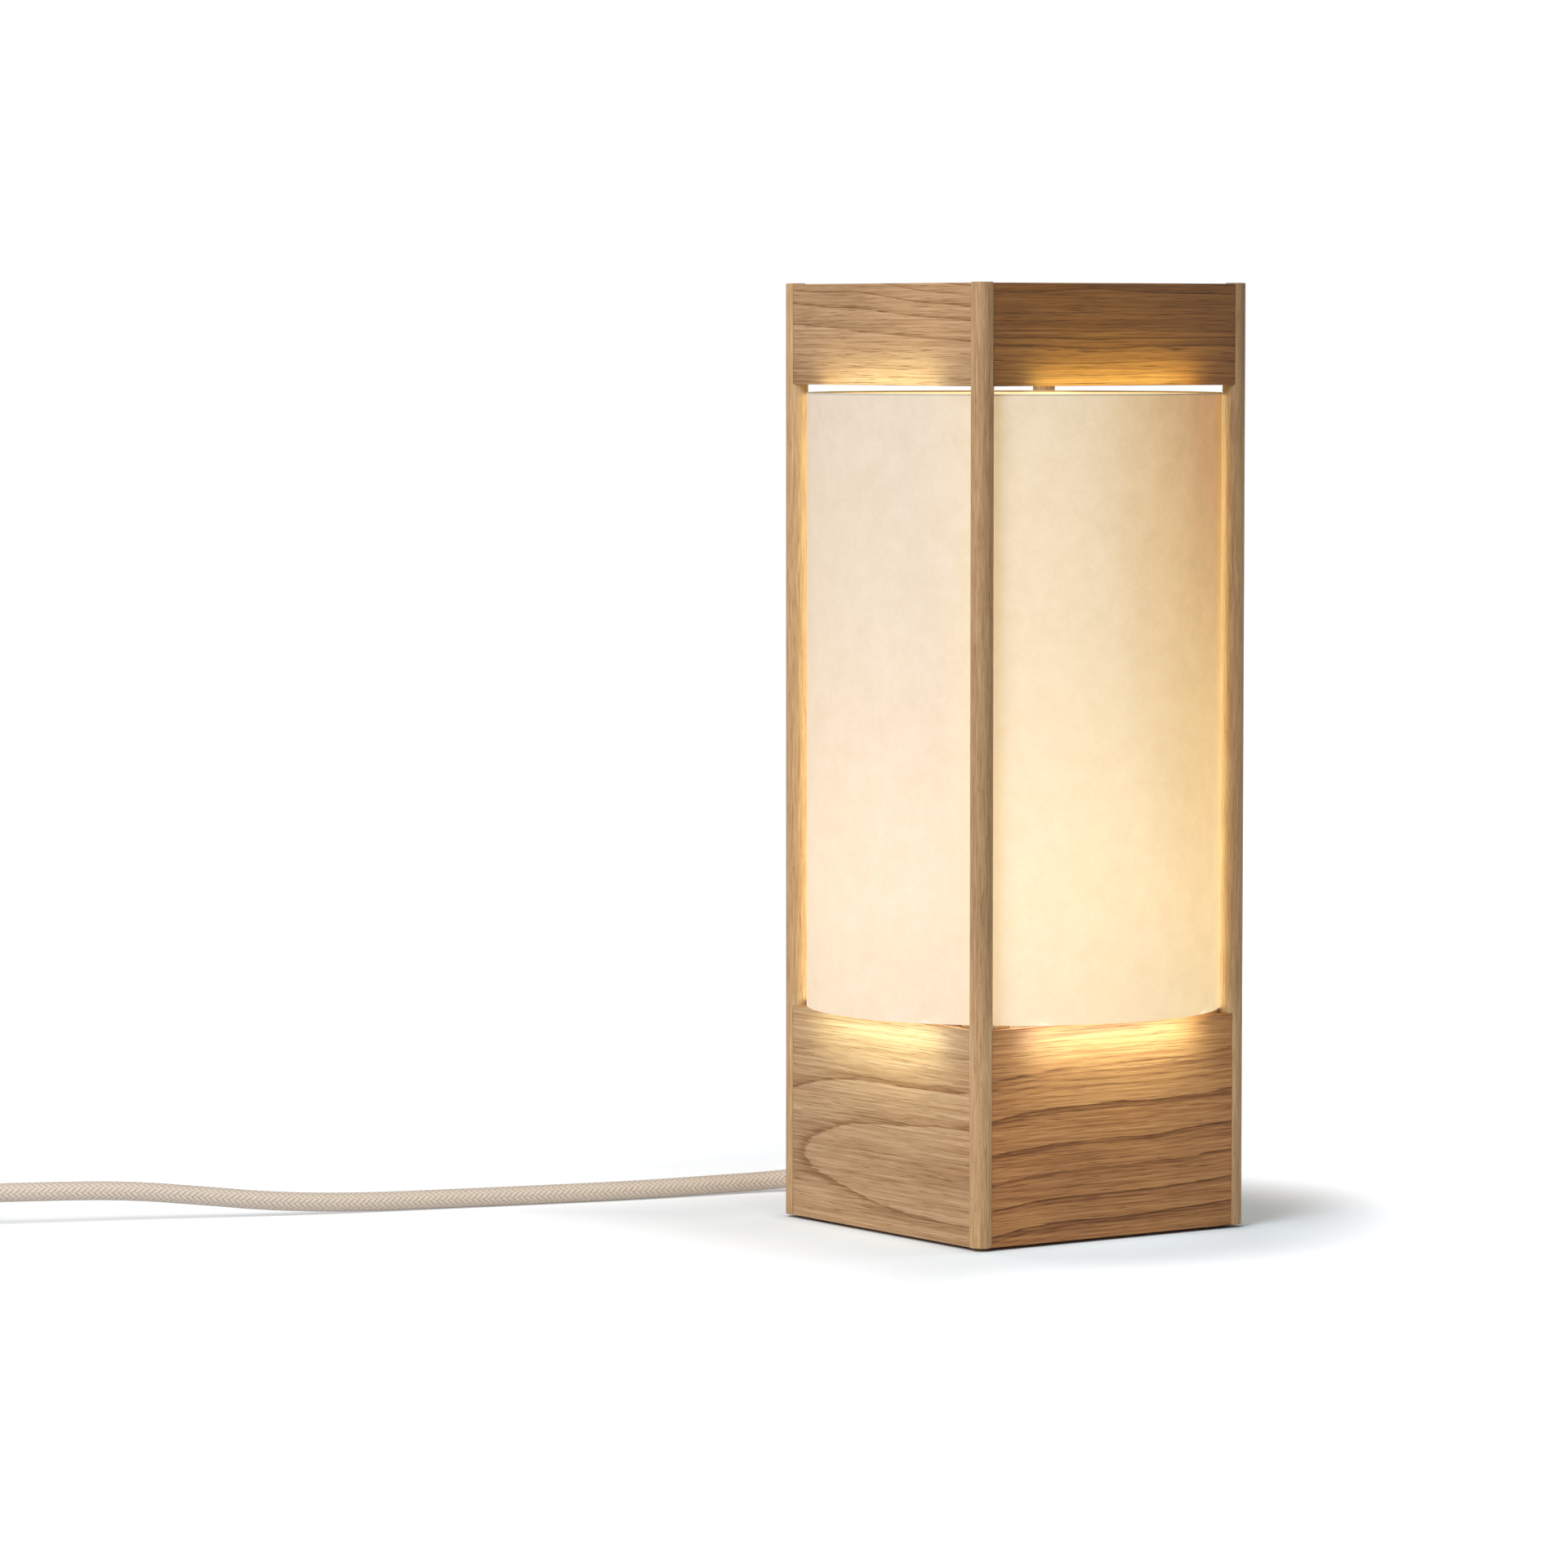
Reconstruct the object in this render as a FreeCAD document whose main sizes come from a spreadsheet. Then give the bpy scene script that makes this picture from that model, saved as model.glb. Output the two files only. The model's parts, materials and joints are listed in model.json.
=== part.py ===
import FreeCAD, Part
import math
import os
import re

import Sketcher

# Driving dimensions in millimetres: name, value, what it measures.
SIZES = [
    ("post_dia", 8, "round corner post"),
    ("post_spacing", 110, "from post axis to post axis"),
    ("overall_height", 333, "floor to the top of the posts"),
    ("post_ease", 0.5, "softened edge at the post's ends"),
    ("post_proud", 0.3, "post above the upper panels"),
    ("wood_lift", 0.9, "shadow gap between floor and frame"),
    ("panel_inset", 0.6, "panel face behind the post's outside"),
    ("panel_thick", 5, "wooden panel"),
    ("lower_panel_top", 76.1, "height of the lower panels' top edge"),
    ("upper_panel_height", 35.4, "height of an upper panel"),
    ("pin_dia", 2.5, "wooden joint pin"),
    ("pin_length", 11, "whole joint pin"),
    ("pin_in_post", 3.5, "share of the pin inside the post"),
    ("pin_slack", 0.05, "room round a joint pin"),
    ("pin_end_slack", 0.3, "room at each end of a joint pin"),
    ("pin_stagger", 6, "height step between pins that share a post"),
    ("lower_pin_gap", 40, "between the two pins of a lower joint"),
    ("upper_pin_gap", 16, "between the two pins of an upper joint"),
    ("block_side", 12, "glue block in a lower corner"),
    ("block_clear", 0.28, "room between glue block and post"),
    ("plate_thick", 2.5, "steel base plate"),
    ("plate_recess", 0.5, "base plate above the frame's lower edge"),
    ("plate_gap", 0.3, "room round the base plate"),
    ("plate_corner", 2.5, "cut corner of the base plate"),
    ("foot_dia", 12, "rubber foot"),
    ("foot_inset", 15, "foot axis from the panel's inner face"),
    ("screw_inset", 6.5, "base screw axis from the panel's inner face"),
    ("screw_dia", 3, "shank of every screw in the base"),
    ("screw_slack", 0.1, "room round a screw's shank"),
    ("base_screw_length", 14, "whole base screw"),
    ("screw_head_dia", 6, "head of a base screw"),
    ("screw_head_deep", 1.6, "countersunk head of a base screw"),
    ("pan_head_dia", 5.5, "pan head of the inner screws"),
    ("pan_head_high", 2, "pan head of the inner screws"),
    ("shade_lift", 1.3, "shade's lower edge above the lower panels"),
    ("shade_top_gap", 2.7, "shade's upper edge below the upper panels"),
    ("shade_gap", 0.5, "between the shade and the posts"),
    ("shade_thick", 0.5, "shade sheet"),
    ("seam_angle", 12, "arc of the shade's glued overlap, in degrees"),
    ("bracket_height", 20, "holder bracket above the base plate"),
    ("bracket_thick", 1.5, "bracket strip"),
    ("bracket_width", 24, "bracket strip"),
    ("bracket_span", 40, "outside of the bracket's legs"),
    ("bracket_foot", 12, "flange at each leg"),
    ("nipple_dia", 9.8, "hollow threaded nipple"),
    ("nipple_bore", 7.2, "way for the leads"),
    ("nipple_length", 15, "whole nipple"),
    ("nipple_below", 6, "nipple below the bracket's top"),
    ("thread_slack", 0.05, "room round a threaded piece"),
    ("nut_flats", 14, "nipple nut across its flats"),
    ("nut_thick", 3, "nipple nut"),
    ("holder_dia", 28, "lampholder outside"),
    ("holder_wall", 2, "lampholder cap's wall"),
    ("holder_cap_height", 15.6, "lampholder cap"),
    ("holder_shell_height", 33, "lampholder shell"),
    ("insert_height", 8, "insulating insert"),
    ("insert_slack", 0.3, "room round the insert"),
    ("insert_above", 5, "insert above the cap's rim"),
    ("sleeve_bore", 14.6, "thread sleeve inside"),
    ("sleeve_wall", 0.7, "thread sleeve"),
    ("sleeve_height", 25, "thread sleeve"),
    ("contact_height", 3.5, "centre contact above the insert"),
    ("contact_dia", 6, "centre contact at the insert"),
    ("contact_tip_dia", 3.6, "centre contact at its top"),
    ("holder_ease", 1.2, "cut edge of the lampholder"),
    ("bulb_gap", 0.3, "between the bulb and the holder's contact"),
    ("bulb_cap_dia", 13.8, "small screw cap"),
    ("bulb_cap_wall", 0.6, "small screw cap"),
    ("bulb_cap_height", 19, "screwed part of the cap"),
    ("bulb_tip_height", 1.2, "bulb's end contact"),
    ("bulb_tip_dia", 4.8, "bulb's end contact"),
    ("bulb_insulator_height", 3, "black glass under the cap"),
    ("globe_dia", 45, "bulb globe"),
    ("globe_wall", 1.2, "bulb globe"),
    ("globe_neck_dia", 29, "globe where it meets the collar"),
    ("collar_height", 16.8, "bulb collar"),
    ("collar_rim", 1, "upright edge of the bulb collar"),
    ("board_thick", 1.4, "light board in the bulb"),
    ("board_dia", 24, "light board in the bulb"),
    ("cord_dia", 6.8, "braided cord"),
    ("cord_slack", 0.15, "room round the cord in a bush"),
    ("relief_wall", 0.85, "strain relief inside the panel"),
    ("relief_inside", 4, "strain relief behind the panel"),
    ("relief_lip", 1.6, "strain relief flange beyond the thread"),
    ("relief_flange", 2, "strain relief flange thickness"),
    ("relief_nose", 16, "tapered nose of the strain relief"),
    ("relief_tip_wall", 0.95, "end of the tapered nose"),
    ("relief_nut_wall", 1.1, "lock nut round the thread"),
    ("relief_nut_clear", 0.1, "lock nut above the base plate"),
    ("relief_nut_thick", 2.5, "lock nut"),
    ("inner_cord_end", 18, "where the cord's jacket ends, from the centre"),
    ("clamp_inset", 15.4, "cord clamp from the panel's inner face"),
    ("clamp_length", 24, "cord clamp across the cord"),
    ("clamp_width", 8, "cord clamp along the cord"),
    ("clamp_bar_thick", 2.5, "upper bar of the cord clamp"),
    ("clamp_screw_gap", 16, "between the clamp's screws"),
    ("lead_dia", 2.2, "insulated lead"),
    ("lead_offset", 1.6, "lead from the centre"),
    ("lead_bend", 10, "radius of the leads' turn"),
    ("switch_length", 64, "in-line switch"),
    ("switch_width", 26, "in-line switch"),
    ("switch_height", 22.5, "in-line switch"),
    ("switch_nose", 12, "width at the cord entries"),
    ("switch_taper", 10, "length of the tapered ends"),
    ("switch_wall", 2, "switch housing"),
    ("rocker_length", 20, "rocker"),
    ("rocker_width", 11.2, "rocker"),
    ("rocker_gap", 1, "room at each end of the rocker"),
    ("rocker_side_gap", 0.4, "room beside the rocker"),
    ("rocker_below", 3.5, "rocker under its pivot"),
    ("rocker_above", 3, "rocker's ends over its pivot"),
    ("rocker_dip", 1.4, "hollow in the rocker's top"),
    ("pivot_drop", 3, "pivot below the switch's top"),
    ("pivot_dia", 2, "pivot pin"),
    ("pivot_slack", 0.05, "running room round the pivot pin"),
    ("lug_thick", 2, "lug that carries the pivot pin"),
    ("lug_length", 6, "lug along the switch"),
    ("switch_boss_dia", 6, "screw boss in the switch"),
    ("switch_boss_inset", 13, "screw boss from the switch's end"),
    ("switch_screw_dia", 2.4, "switch screw"),
    ("switch_screw_length", 17, "switch screw"),
    ("screw_end_slack", 0.5, "room at the tip of a switch screw"),
    ("switch_head_dia", 4.4, "switch screw head"),
    ("switch_head_deep", 1.4, "switch screw head"),
    ("contact_side", 4, "brass contact post in the switch"),
    ("contact_clear", 4.4, "contact post below the rocker"),
    ("contact_gap", 16, "between the contact posts"),
    ("tail_length", 20, "cord between switch and coil"),
    ("coil_radius", 46.15, "outermost turn of the stored coil"),
    ("coil_gap", 0.6, "between turns and between layers"),
    ("tie_thick", 0.7, "coil tie strap"),
    ("tie_width", 10, "coil tie strap"),
    ("tie_clear", 0.1, "strap under the lowest turns"),
    ("tie_room", 0.4, "room inside the strap beside the turns"),
    ("plug_thick", 13.6, "flat plug"),
    ("plug_width", 26, "flat plug"),
    ("plug_neck", 12, "plug's width at its strain relief"),
    ("plug_lead", 12, "straight cord at each end of the rise to the plug"),
    ("plug_rise", 14, "stretch in which the cord rises to the plug"),
    ("plug_length", 34, "plug body"),
    ("plug_shoulder", 10, "tapered part of the plug body"),
    ("plug_relief_length", 20, "plug's tapered strain relief"),
    ("plug_relief_tip", 9.2, "end of the plug's strain relief"),
    ("plug_pin_dia", 4, "plug pin"),
    ("plug_pin_length", 19, "plug pin"),
    ("plug_pin_gap", 18.6, "between the plug's pins"),
]

# The loops of each of the coil's two layers, and how far the rocker leans when it is switched on.
COIL_LOOPS = 3
ROCKER_LEAN = 9.0

# The cord's free run, chosen by eye. Each point is given across from the lamp's middle, on from the strain
# relief's end, and as a share of height: what it still has to fall to the floor, or has risen to the switch.
CORD_FALL = [
    (0, 0, 1), (0, 17.6, 1), (-8, 33.1, 0.36), (-23, 42.1, 0.07), (-45, 45.3, 0.05), (-76, 50.3, 0.006),
    (-110, 59.1, 0.006), (-145, 68.9, 0),
]
CORD_RISE = [
    (-178, 78.1, 0.012), (-207, 86.6, 0.195), (-233, 95.1, 0.585), (-258, 104.1, 0.927), (-286, 114.7, 1),
    (-313, 125, 1),
]

# Measures that follow from the driving dimensions. Places are given from the lamp's centre and the floor.
HALF = "(post_spacing / 2)"
FACE = "(post_dia / 2 - panel_inset)"
OUTER = f"({HALF} + {FACE})"
INNER = f"({OUTER} - panel_thick)"
FLAT = f"max(sqrt(post_dia ^ 2 / 4 - {FACE} ^ 2); panel_thick - {FACE})"
PANEL_END = f"({HALF} - {FLAT})"
PANEL_TOP = "(overall_height - post_proud)"
UPPER_BOTTOM = f"({PANEL_TOP} - upper_panel_height)"
PLATE_BOTTOM = "(wood_lift + plate_recess)"
PLATE_TOP = f"({PLATE_BOTTOM} + plate_thick)"
SHADE_BOTTOM = "(lower_panel_top + shade_lift)"
SHADE_HEIGHT = f"({UPPER_BOTTOM} - shade_top_gap - {SHADE_BOTTOM})"
SHADE_OUTER = f"({HALF} * sqrt(2) - post_dia / 2 - shade_gap)"
BRACKET_TOP = f"({PLATE_TOP} + bracket_height)"
CAP_TOP = f"({BRACKET_TOP} + holder_cap_height)"
INSERT_TOP = f"({CAP_TOP} + insert_above)"
SHELL_TOP = f"({CAP_TOP} + holder_shell_height)"
BULB_TIP = f"({INSERT_TOP} + contact_height + bulb_gap)"
BULB_CAP_LOW = f"({BULB_TIP} + bulb_tip_height + bulb_insulator_height)"
COLLAR_LOW = f"({BULB_CAP_LOW} + bulb_cap_height)"
COLLAR_TOP = f"({COLLAR_LOW} + collar_height)"
GLOBE_MIDDLE = f"({COLLAR_TOP} + sqrt(globe_dia ^ 2 - globe_neck_dia ^ 2) / 2)"
INSERT_LOW = f"({INSERT_TOP} - insert_height)"
RELIEF_THREAD = "(cord_dia + 2 * cord_slack + 2 * relief_wall)"
RELIEF_NUT = f"({RELIEF_THREAD} + 2 * relief_nut_wall)"
EXIT_HEIGHT = f"({PLATE_TOP} + {RELIEF_NUT} / 2 + relief_nut_clear)"
RELIEF_END = f"({OUTER} + relief_flange + relief_nose)"
CLAMP_SEAT = f"({EXIT_HEIGHT} - cord_dia / 2)"
CLAMP_MIDDLE = f"({INNER} - clamp_inset)"
COIL_STEP = "(cord_dia + coil_gap)"
COIL_LOW = "(tie_thick + tie_clear + cord_dia / 2)"
COIL_HIGH = f"({COIL_LOW} + {COIL_STEP})"
PIVOT_HEIGHT = "(switch_height - pivot_drop)"

# The measures that the swept pieces are drawn from.
DERIVED = [
    ("insert_low", INSERT_LOW, "underside of the insulating insert"),
    ("exit_height", EXIT_HEIGHT, "cord axis at the rear panel"),
    ("relief_end", RELIEF_END, "end of the strain relief, from the centre"),
    ("coil_step", COIL_STEP, "from turn to turn and layer to layer"),
    ("coil_low", COIL_LOW, "cord axis in the coil's lower layer"),
    ("coil_high", COIL_HIGH, "cord axis in the coil's upper layer and at the switch"),
]
NAMES = {name for name, _, _ in SIZES + DERIVED}

doc = FreeCAD.newDocument("table_lamp")
sheet = doc.addObject("Spreadsheet::Sheet", "Sizes")
formulas = [(name, f"={text}", note) for name, text, note in DERIVED]
for row, (name, value, note) in enumerate(SIZES + formulas, start=1):
    sheet.set(f"A{row}", note)
    sheet.setAlias(f"B{row}", name)
    sheet.set(f"B{row}", str(value))
doc.recompute()

nodes = {}


def size(name):
    """The number in a named cell."""
    return float(sheet.get(name))


def bound(text):
    """An expression over the sheet's names, as the document reads it."""
    return re.sub(r"[a-z][a-z0-9_]*", lambda w: "Sizes." * (w.group() in NAMES) + w.group(), text)


def bind(obj, **properties):
    """Binds an object's properties to expressions."""
    for name, text in properties.items():
        obj.setExpression(name, bound(text))


def place(obj, x, y, z):
    """Binds an object's position."""
    for axis, text in zip("xyz", (x, y, z)):
        obj.setExpression(f"Placement.Base.{axis}", bound(text))


def span(sign, near, far):
    """Lower and upper end of a stretch on one side of the centre."""
    return (near, far) if sign > 0 else (f"-({far})", f"-({near})")


def node(label, obj):
    """Names a finished piece."""
    obj.Label = label
    nodes[label] = obj
    return obj


def box(name, low, high):
    """A block between two corners."""
    block = doc.addObject("Part::Box", name)
    for side, a, b in zip(("Length", "Width", "Height"), low, high):
        bind(block, **{side: f"({b}) - ({a})"})
    place(block, *low)
    return block


TURN = {
    "x": FreeCAD.Rotation(FreeCAD.Vector(0, 1, 0), 90),
    "y": FreeCAD.Rotation(FreeCAD.Vector(1, 0, 0), -90),
    "z": FreeCAD.Rotation(),
}


def rod(name, diameter, start, length, axis="z"):
    """A round bar from a point along one axis."""
    bar = doc.addObject("Part::Cylinder", name)
    bind(bar, Radius=f"({diameter}) / 2", Height=length)
    bar.Placement = FreeCAD.Placement(FreeCAD.Vector(), TURN[axis])
    place(bar, *start)
    return bar


def cone(name, low_dia, high_dia, start, length, axis="z"):
    """A tapered round bar from a point along one axis."""
    taper = doc.addObject("Part::Cone", name)
    bind(taper, Radius1=f"({low_dia}) / 2", Radius2=f"({high_dia}) / 2", Height=length)
    taper.Placement = FreeCAD.Placement(FreeCAD.Vector(), TURN[axis])
    place(taper, *start)
    return taper


def hexagon(name, flats, start, length, axis="z"):
    """A six-sided bar with one flat facing down when it lies along an axis."""
    bar = doc.addObject("Part::Prism", name)
    bar.Polygon = 6
    bind(bar, Circumradius=f"({flats}) / sqrt(3)", Height=length)
    bar.Placement = FreeCAD.Placement(FreeCAD.Vector(), TURN[axis])
    place(bar, *start)
    return bar


def joined(name, pieces):
    """One solid from several."""
    fuse = doc.addObject("Part::MultiFuse", name)
    fuse.Shapes = pieces
    return fuse


def cut(name, base, tools):
    """A piece with others taken out of it."""
    result = doc.addObject("Part::Cut", name)
    result.Base = base
    result.Tool = tools[0] if len(tools) == 1 else joined(f"{name}_tools", tools)
    return result


def group(name, pieces):
    """Identical pieces that share a name."""
    together = doc.addObject("Part::Compound", name)
    together.Links = pieces
    return together


def outline(body, role, corners):
    """A closed sketch on one of the body's planes, each corner bound to the sheet."""
    sketch = body.newObject("Sketcher::SketchObject", f"{body.Name}_outline")
    plane = next(f for f in body.Origin.OriginFeatures if f.Role == role)
    sketch.AttachmentSupport = (plane, [""])
    sketch.MapMode = "FlatFace"
    count = len(corners)
    ring = [2 * math.pi * i / count for i in range(count + 1)]
    start = [FreeCAD.Vector(20 + 10 * math.cos(a), 20 + 10 * math.sin(a), 0) for a in ring]
    for i in range(count):
        sketch.addGeometry(Part.LineSegment(start[i], start[i + 1]), False)
    for i in range(count):
        sketch.addConstraint(Sketcher.Constraint("Coincident", i, 2, (i + 1) % count, 1))
    for i, corner in enumerate(corners):
        for kind, axis, text in zip(("DistanceX", "DistanceY"), (-2, -1), corner):
            if text == "0":
                sketch.addConstraint(Sketcher.Constraint("PointOnObject", i, 1, axis))
                continue
            number = sketch.addConstraint(Sketcher.Constraint(kind, -1, 1, i, 1, 20.0))
            sketch.setExpression(f"Constraints[{number}]", bound(text))
    return sketch


def turned(name, profile):
    """A piece turned about the upright axis, from corners given as radius and height."""
    body = doc.addObject("PartDesign::Body", name)
    sketch = outline(body, "XZ_Plane", profile)
    turn = body.newObject("PartDesign::Revolution", f"{name}_turn")
    turn.Profile = sketch
    turn.ReferenceAxis = (sketch, ["V_Axis"])
    turn.Angle = 360
    return body


def plank(name, corners, low, high):
    """A flat piece with a plan outline, from one height to another."""
    body = doc.addObject("PartDesign::Body", name)
    pad = body.newObject("PartDesign::Pad", f"{name}_pad")
    pad.Profile = outline(body, "XY_Plane", corners)
    bind(pad, Length=f"({high}) - ({low})")
    place(body, "0", "0", low)
    return body


def strip(name, corners, width):
    """A piece with a side outline, as wide to the front as to the rear."""
    body = doc.addObject("PartDesign::Body", name)
    pad = body.newObject("PartDesign::Pad", f"{name}_pad")
    pad.Profile = outline(body, "XZ_Plane", corners)
    pad.SideType = "Symmetric"
    bind(pad, Length=width)
    return body


def solid_piece(name, shape):
    """A piece whose shape follows a path."""
    piece = doc.addObject("Part::Feature", name)
    piece.Shape = shape
    return piece


# Frame: posts, panels and the pins between them.
POSTS = {
    f"{depth}_{side}_post": (sx, sy)
    for depth, sy in (("front", -1), ("rear", 1))
    for side, sx in (("left", -1), ("right", 1))
}
PANELS = {"front": ("x", -1), "rear": ("x", 1), "left": ("y", -1), "right": ("y", 1)}
TIERS = {
    "lower": ("wood_lift", "lower_panel_top", "lower_pin_gap"),
    "upper": (UPPER_BOTTOM, PANEL_TOP, "upper_pin_gap"),
}


def swap(along, a, b):
    """Plan position from a place along a panel and a place across it."""
    return (a, b) if along == "x" else (b, a)


def joint_pin(name, along, across, end, level, extra):
    """A pin, or with extra room the hole for it, at one end of a panel."""
    near = f"{PANEL_END} - (pin_length - pin_in_post) - {extra}"
    far = f"{PANEL_END} + pin_in_post + {extra}"
    low = span(end, near, far)[0]
    middle = f"{across} * ({OUTER} - panel_thick / 2)"
    room = "0" if extra == "0" else "2 * pin_slack"
    start = (*swap(along, low, middle), level)
    return rod(name, f"pin_dia + {room}", start, f"pin_length + 2 * {extra}", along)


def post_of(panel, end):
    """Name of the post at one end of a panel."""
    if PANELS[panel][0] == "x":
        return f"{panel}_{'right' if end > 0 else 'left'}_post"
    return f"{'rear' if end > 0 else 'front'}_{panel}_post"


def build_frame():
    post_cuts = {post: [] for post in POSTS}
    for tier, (low, high, gap) in TIERS.items():
        pins = []
        for panel, (along, across) in PANELS.items():
            holes = []
            step = "pin_stagger / 2" if along == "x" else "-pin_stagger / 2"
            for end in (-1, 1):
                for rank, half_gap in enumerate((f"-{gap} / 2", f"{gap} / 2")):
                    name = f"{panel}_{tier}_{'b' if end > 0 else 'a'}{rank}"
                    level = f"({low} + {high}) / 2 + {half_gap} + {step}"
                    pins.append(joint_pin(f"pin_{name}", along, across, end, level, "0"))
                    hole = joint_pin(f"hole_{name}", along, across, end, level, "pin_end_slack")
                    holes.append(hole)
                    post_cuts[post_of(panel, end)].append(hole)
            if (panel, tier) == ("rear", "lower"):
                start = ("0", INNER, "exit_height")
                hole = rod("cord_hole", f"{RELIEF_THREAD} + 4 * thread_slack", start, "panel_thick", "y")
                holes.append(hole)
            near, far = span(across, INNER, OUTER)
            start = swap(along, f"-{PANEL_END}", near)
            stop = swap(along, PANEL_END, far)
            board = box(f"{panel}_{tier}_board", (*start, low), (*stop, high))
            node(f"{panel}_{tier}_panel", cut(f"{panel}_{tier}", board, holes))
        node(f"{tier}_joint_pins", group(f"{tier}_pins", pins))
    for post, (sx, sy) in POSTS.items():
        build_post(post, sx, sy, post_cuts[post])


def build_post(post, sx, sy, holes):
    """A dowel with a flat wherever a panel's end meets it."""
    dowel = turned(f"{post}_dowel", [
        ("0", "wood_lift"), ("post_dia / 2 - post_ease", "wood_lift"),
        ("post_dia / 2", "wood_lift + post_ease"), ("post_dia / 2", "overall_height - post_ease"),
        ("post_dia / 2 - post_ease", "overall_height"), ("0", "overall_height")])
    place(dowel, f"{sx} * {HALF}", f"{sy} * {HALF}", "0")
    flats = []
    wide = f"{HALF} - post_dia", f"{HALF} + post_dia"
    deep = f"{HALF} - post_dia", PANEL_END
    heights = {"lower": ("0", "lower_panel_top"), "upper": (UPPER_BOTTOM, "overall_height + post_ease")}
    for tier, (low, high) in heights.items():
        for along, x_range, y_range in (("x", deep, wide), ("y", wide, deep)):
            x_low, x_high = span(sx, *x_range)
            y_low, y_high = span(sy, *y_range)
            flats.append(box(f"{post}_{tier}_{along}_flat", (x_low, y_low, low), (x_high, y_high, high)))
    node(post, cut(f"{post}_cut", dowel, flats + holes))


# Base: glue blocks, plate, screws and feet.
CORNERS = [(sx, sy) for sx in (-1, 1) for sy in (-1, 1)]


def screw(name, x, y, low, diameter, length, head_dia, head_deep):
    """A countersunk screw driven upwards, or with a wider shank the hole for it."""
    head = cone(f"{name}_head", head_dia, diameter, (x, y, low), head_deep)
    shank = rod(f"{name}_shank", diameter, (x, y, f"{low} + {head_deep}"), f"{length} - {head_deep}")
    return joined(name, [head, shank])


def pan_screw(name, x, y, seat, length):
    """A pan-head screw driven downwards."""
    head = rod(f"{name}_head", "pan_head_dia", (x, y, seat), "pan_head_high")
    shank = rod(f"{name}_shank", "screw_dia", (x, y, f"{seat} - ({length})"), length)
    return joined(name, [head, shank])


def build_base():
    half = f"({INNER} - plate_gap)"
    short = f"({half} - plate_corner)"
    plan = [(short, half), (half, short), (half, f"-{short}"), (short, f"-{half}"),
            (f"-{short}", f"-{half}"), (f"-{half}", f"-{short}"), (f"-{half}", short), (f"-{short}", half)]
    sheet_metal = plank("plate_blank", plan, PLATE_BOTTOM, PLATE_TOP)
    chamfer = f"(2 * {INNER} - post_spacing + sqrt(2) * (post_dia / 2 + block_clear))"
    blocks, screws, feet, holes = [], [], [], []
    for number, (sx, sy) in enumerate(CORNERS):
        far, near, cut_in = INNER, f"({INNER} - block_side)", f"({INNER} - {chamfer})"
        plan = [(cut_in, far), (near, far), (near, near), (far, near), (far, cut_in)]
        plan = [(f"{sx} * {x}", f"{sy} * {y}") for x, y in plan]
        x, y = (f"{s} * ({INNER} - screw_inset)" for s in (sx, sy))
        hole = screw(
            f"base_hole{number}", x, y, PLATE_BOTTOM, "screw_dia + 2 * screw_slack",
            "base_screw_length + screw_slack", "screw_head_dia + 2 * screw_slack", "screw_head_deep")
        holes.append(hole)
        blank = plank(f"block{number}_blank", plan, PLATE_TOP, SHADE_BOTTOM)
        blocks.append(cut(f"block{number}", blank, [hole]))
        screws.append(screw(f"base_screw{number}", x, y, PLATE_BOTTOM, "screw_dia", "base_screw_length",
                            "screw_head_dia", "screw_head_deep"))
        x, y = (f"{s} * ({INNER} - foot_inset)" for s in (sx, sy))
        feet.append(rod(f"foot{number}", "foot_dia", (x, y, "0"), PLATE_BOTTOM))
    node("corner_blocks", group("blocks", blocks))
    node("base_screws", group("base_screw_set", screws))
    node("rubber_feet", group("feet", feet))
    for name, x, y in inner_screw_places():
        start = (x, y, PLATE_BOTTOM)
        holes.append(rod(f"{name}_hole", "screw_dia + 2 * screw_slack", start, "plate_thick"))
    node("base_plate", cut("plate", sheet_metal, holes))


def inner_screw_places():
    """Name and plan position of each screw that enters the base plate from above."""
    bracket = "(bracket_span / 2 + bracket_foot / 2)"
    clamp = "(clamp_screw_gap / 2)"
    return [("bracket_screw_left", f"-{bracket}", "0"), ("bracket_screw_right", bracket, "0"),
            ("clamp_screw_left", f"-{clamp}", CLAMP_MIDDLE), ("clamp_screw_right", clamp, CLAMP_MIDDLE)]


def build_shade():
    """A rolled sheet with its edge glued inside the first turn, by the rear right post."""
    inside = f"2 * ({SHADE_OUTER} - shade_thick)"
    start = ("0", "0", SHADE_BOTTOM)
    roll = cut("shade_roll", rod("shade_outside", f"2 * {SHADE_OUTER}", start, SHADE_HEIGHT),
               [rod("shade_inside", inside, start, SHADE_HEIGHT)])
    wedge = rod("seam_outside", inside, start, SHADE_HEIGHT)
    bind(wedge, Angle="seam_angle")
    seam = cut("seam", wedge, [rod("seam_inside", f"{inside} - 2 * shade_thick", start, SHADE_HEIGHT)])
    turn = FreeCAD.Rotation(45 - size("seam_angle") / 2, 0, 0)
    seam.Placement = FreeCAD.Placement(FreeCAD.Vector(), turn)
    node("shade", joined("shade_sheet", [roll, seam]))


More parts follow.
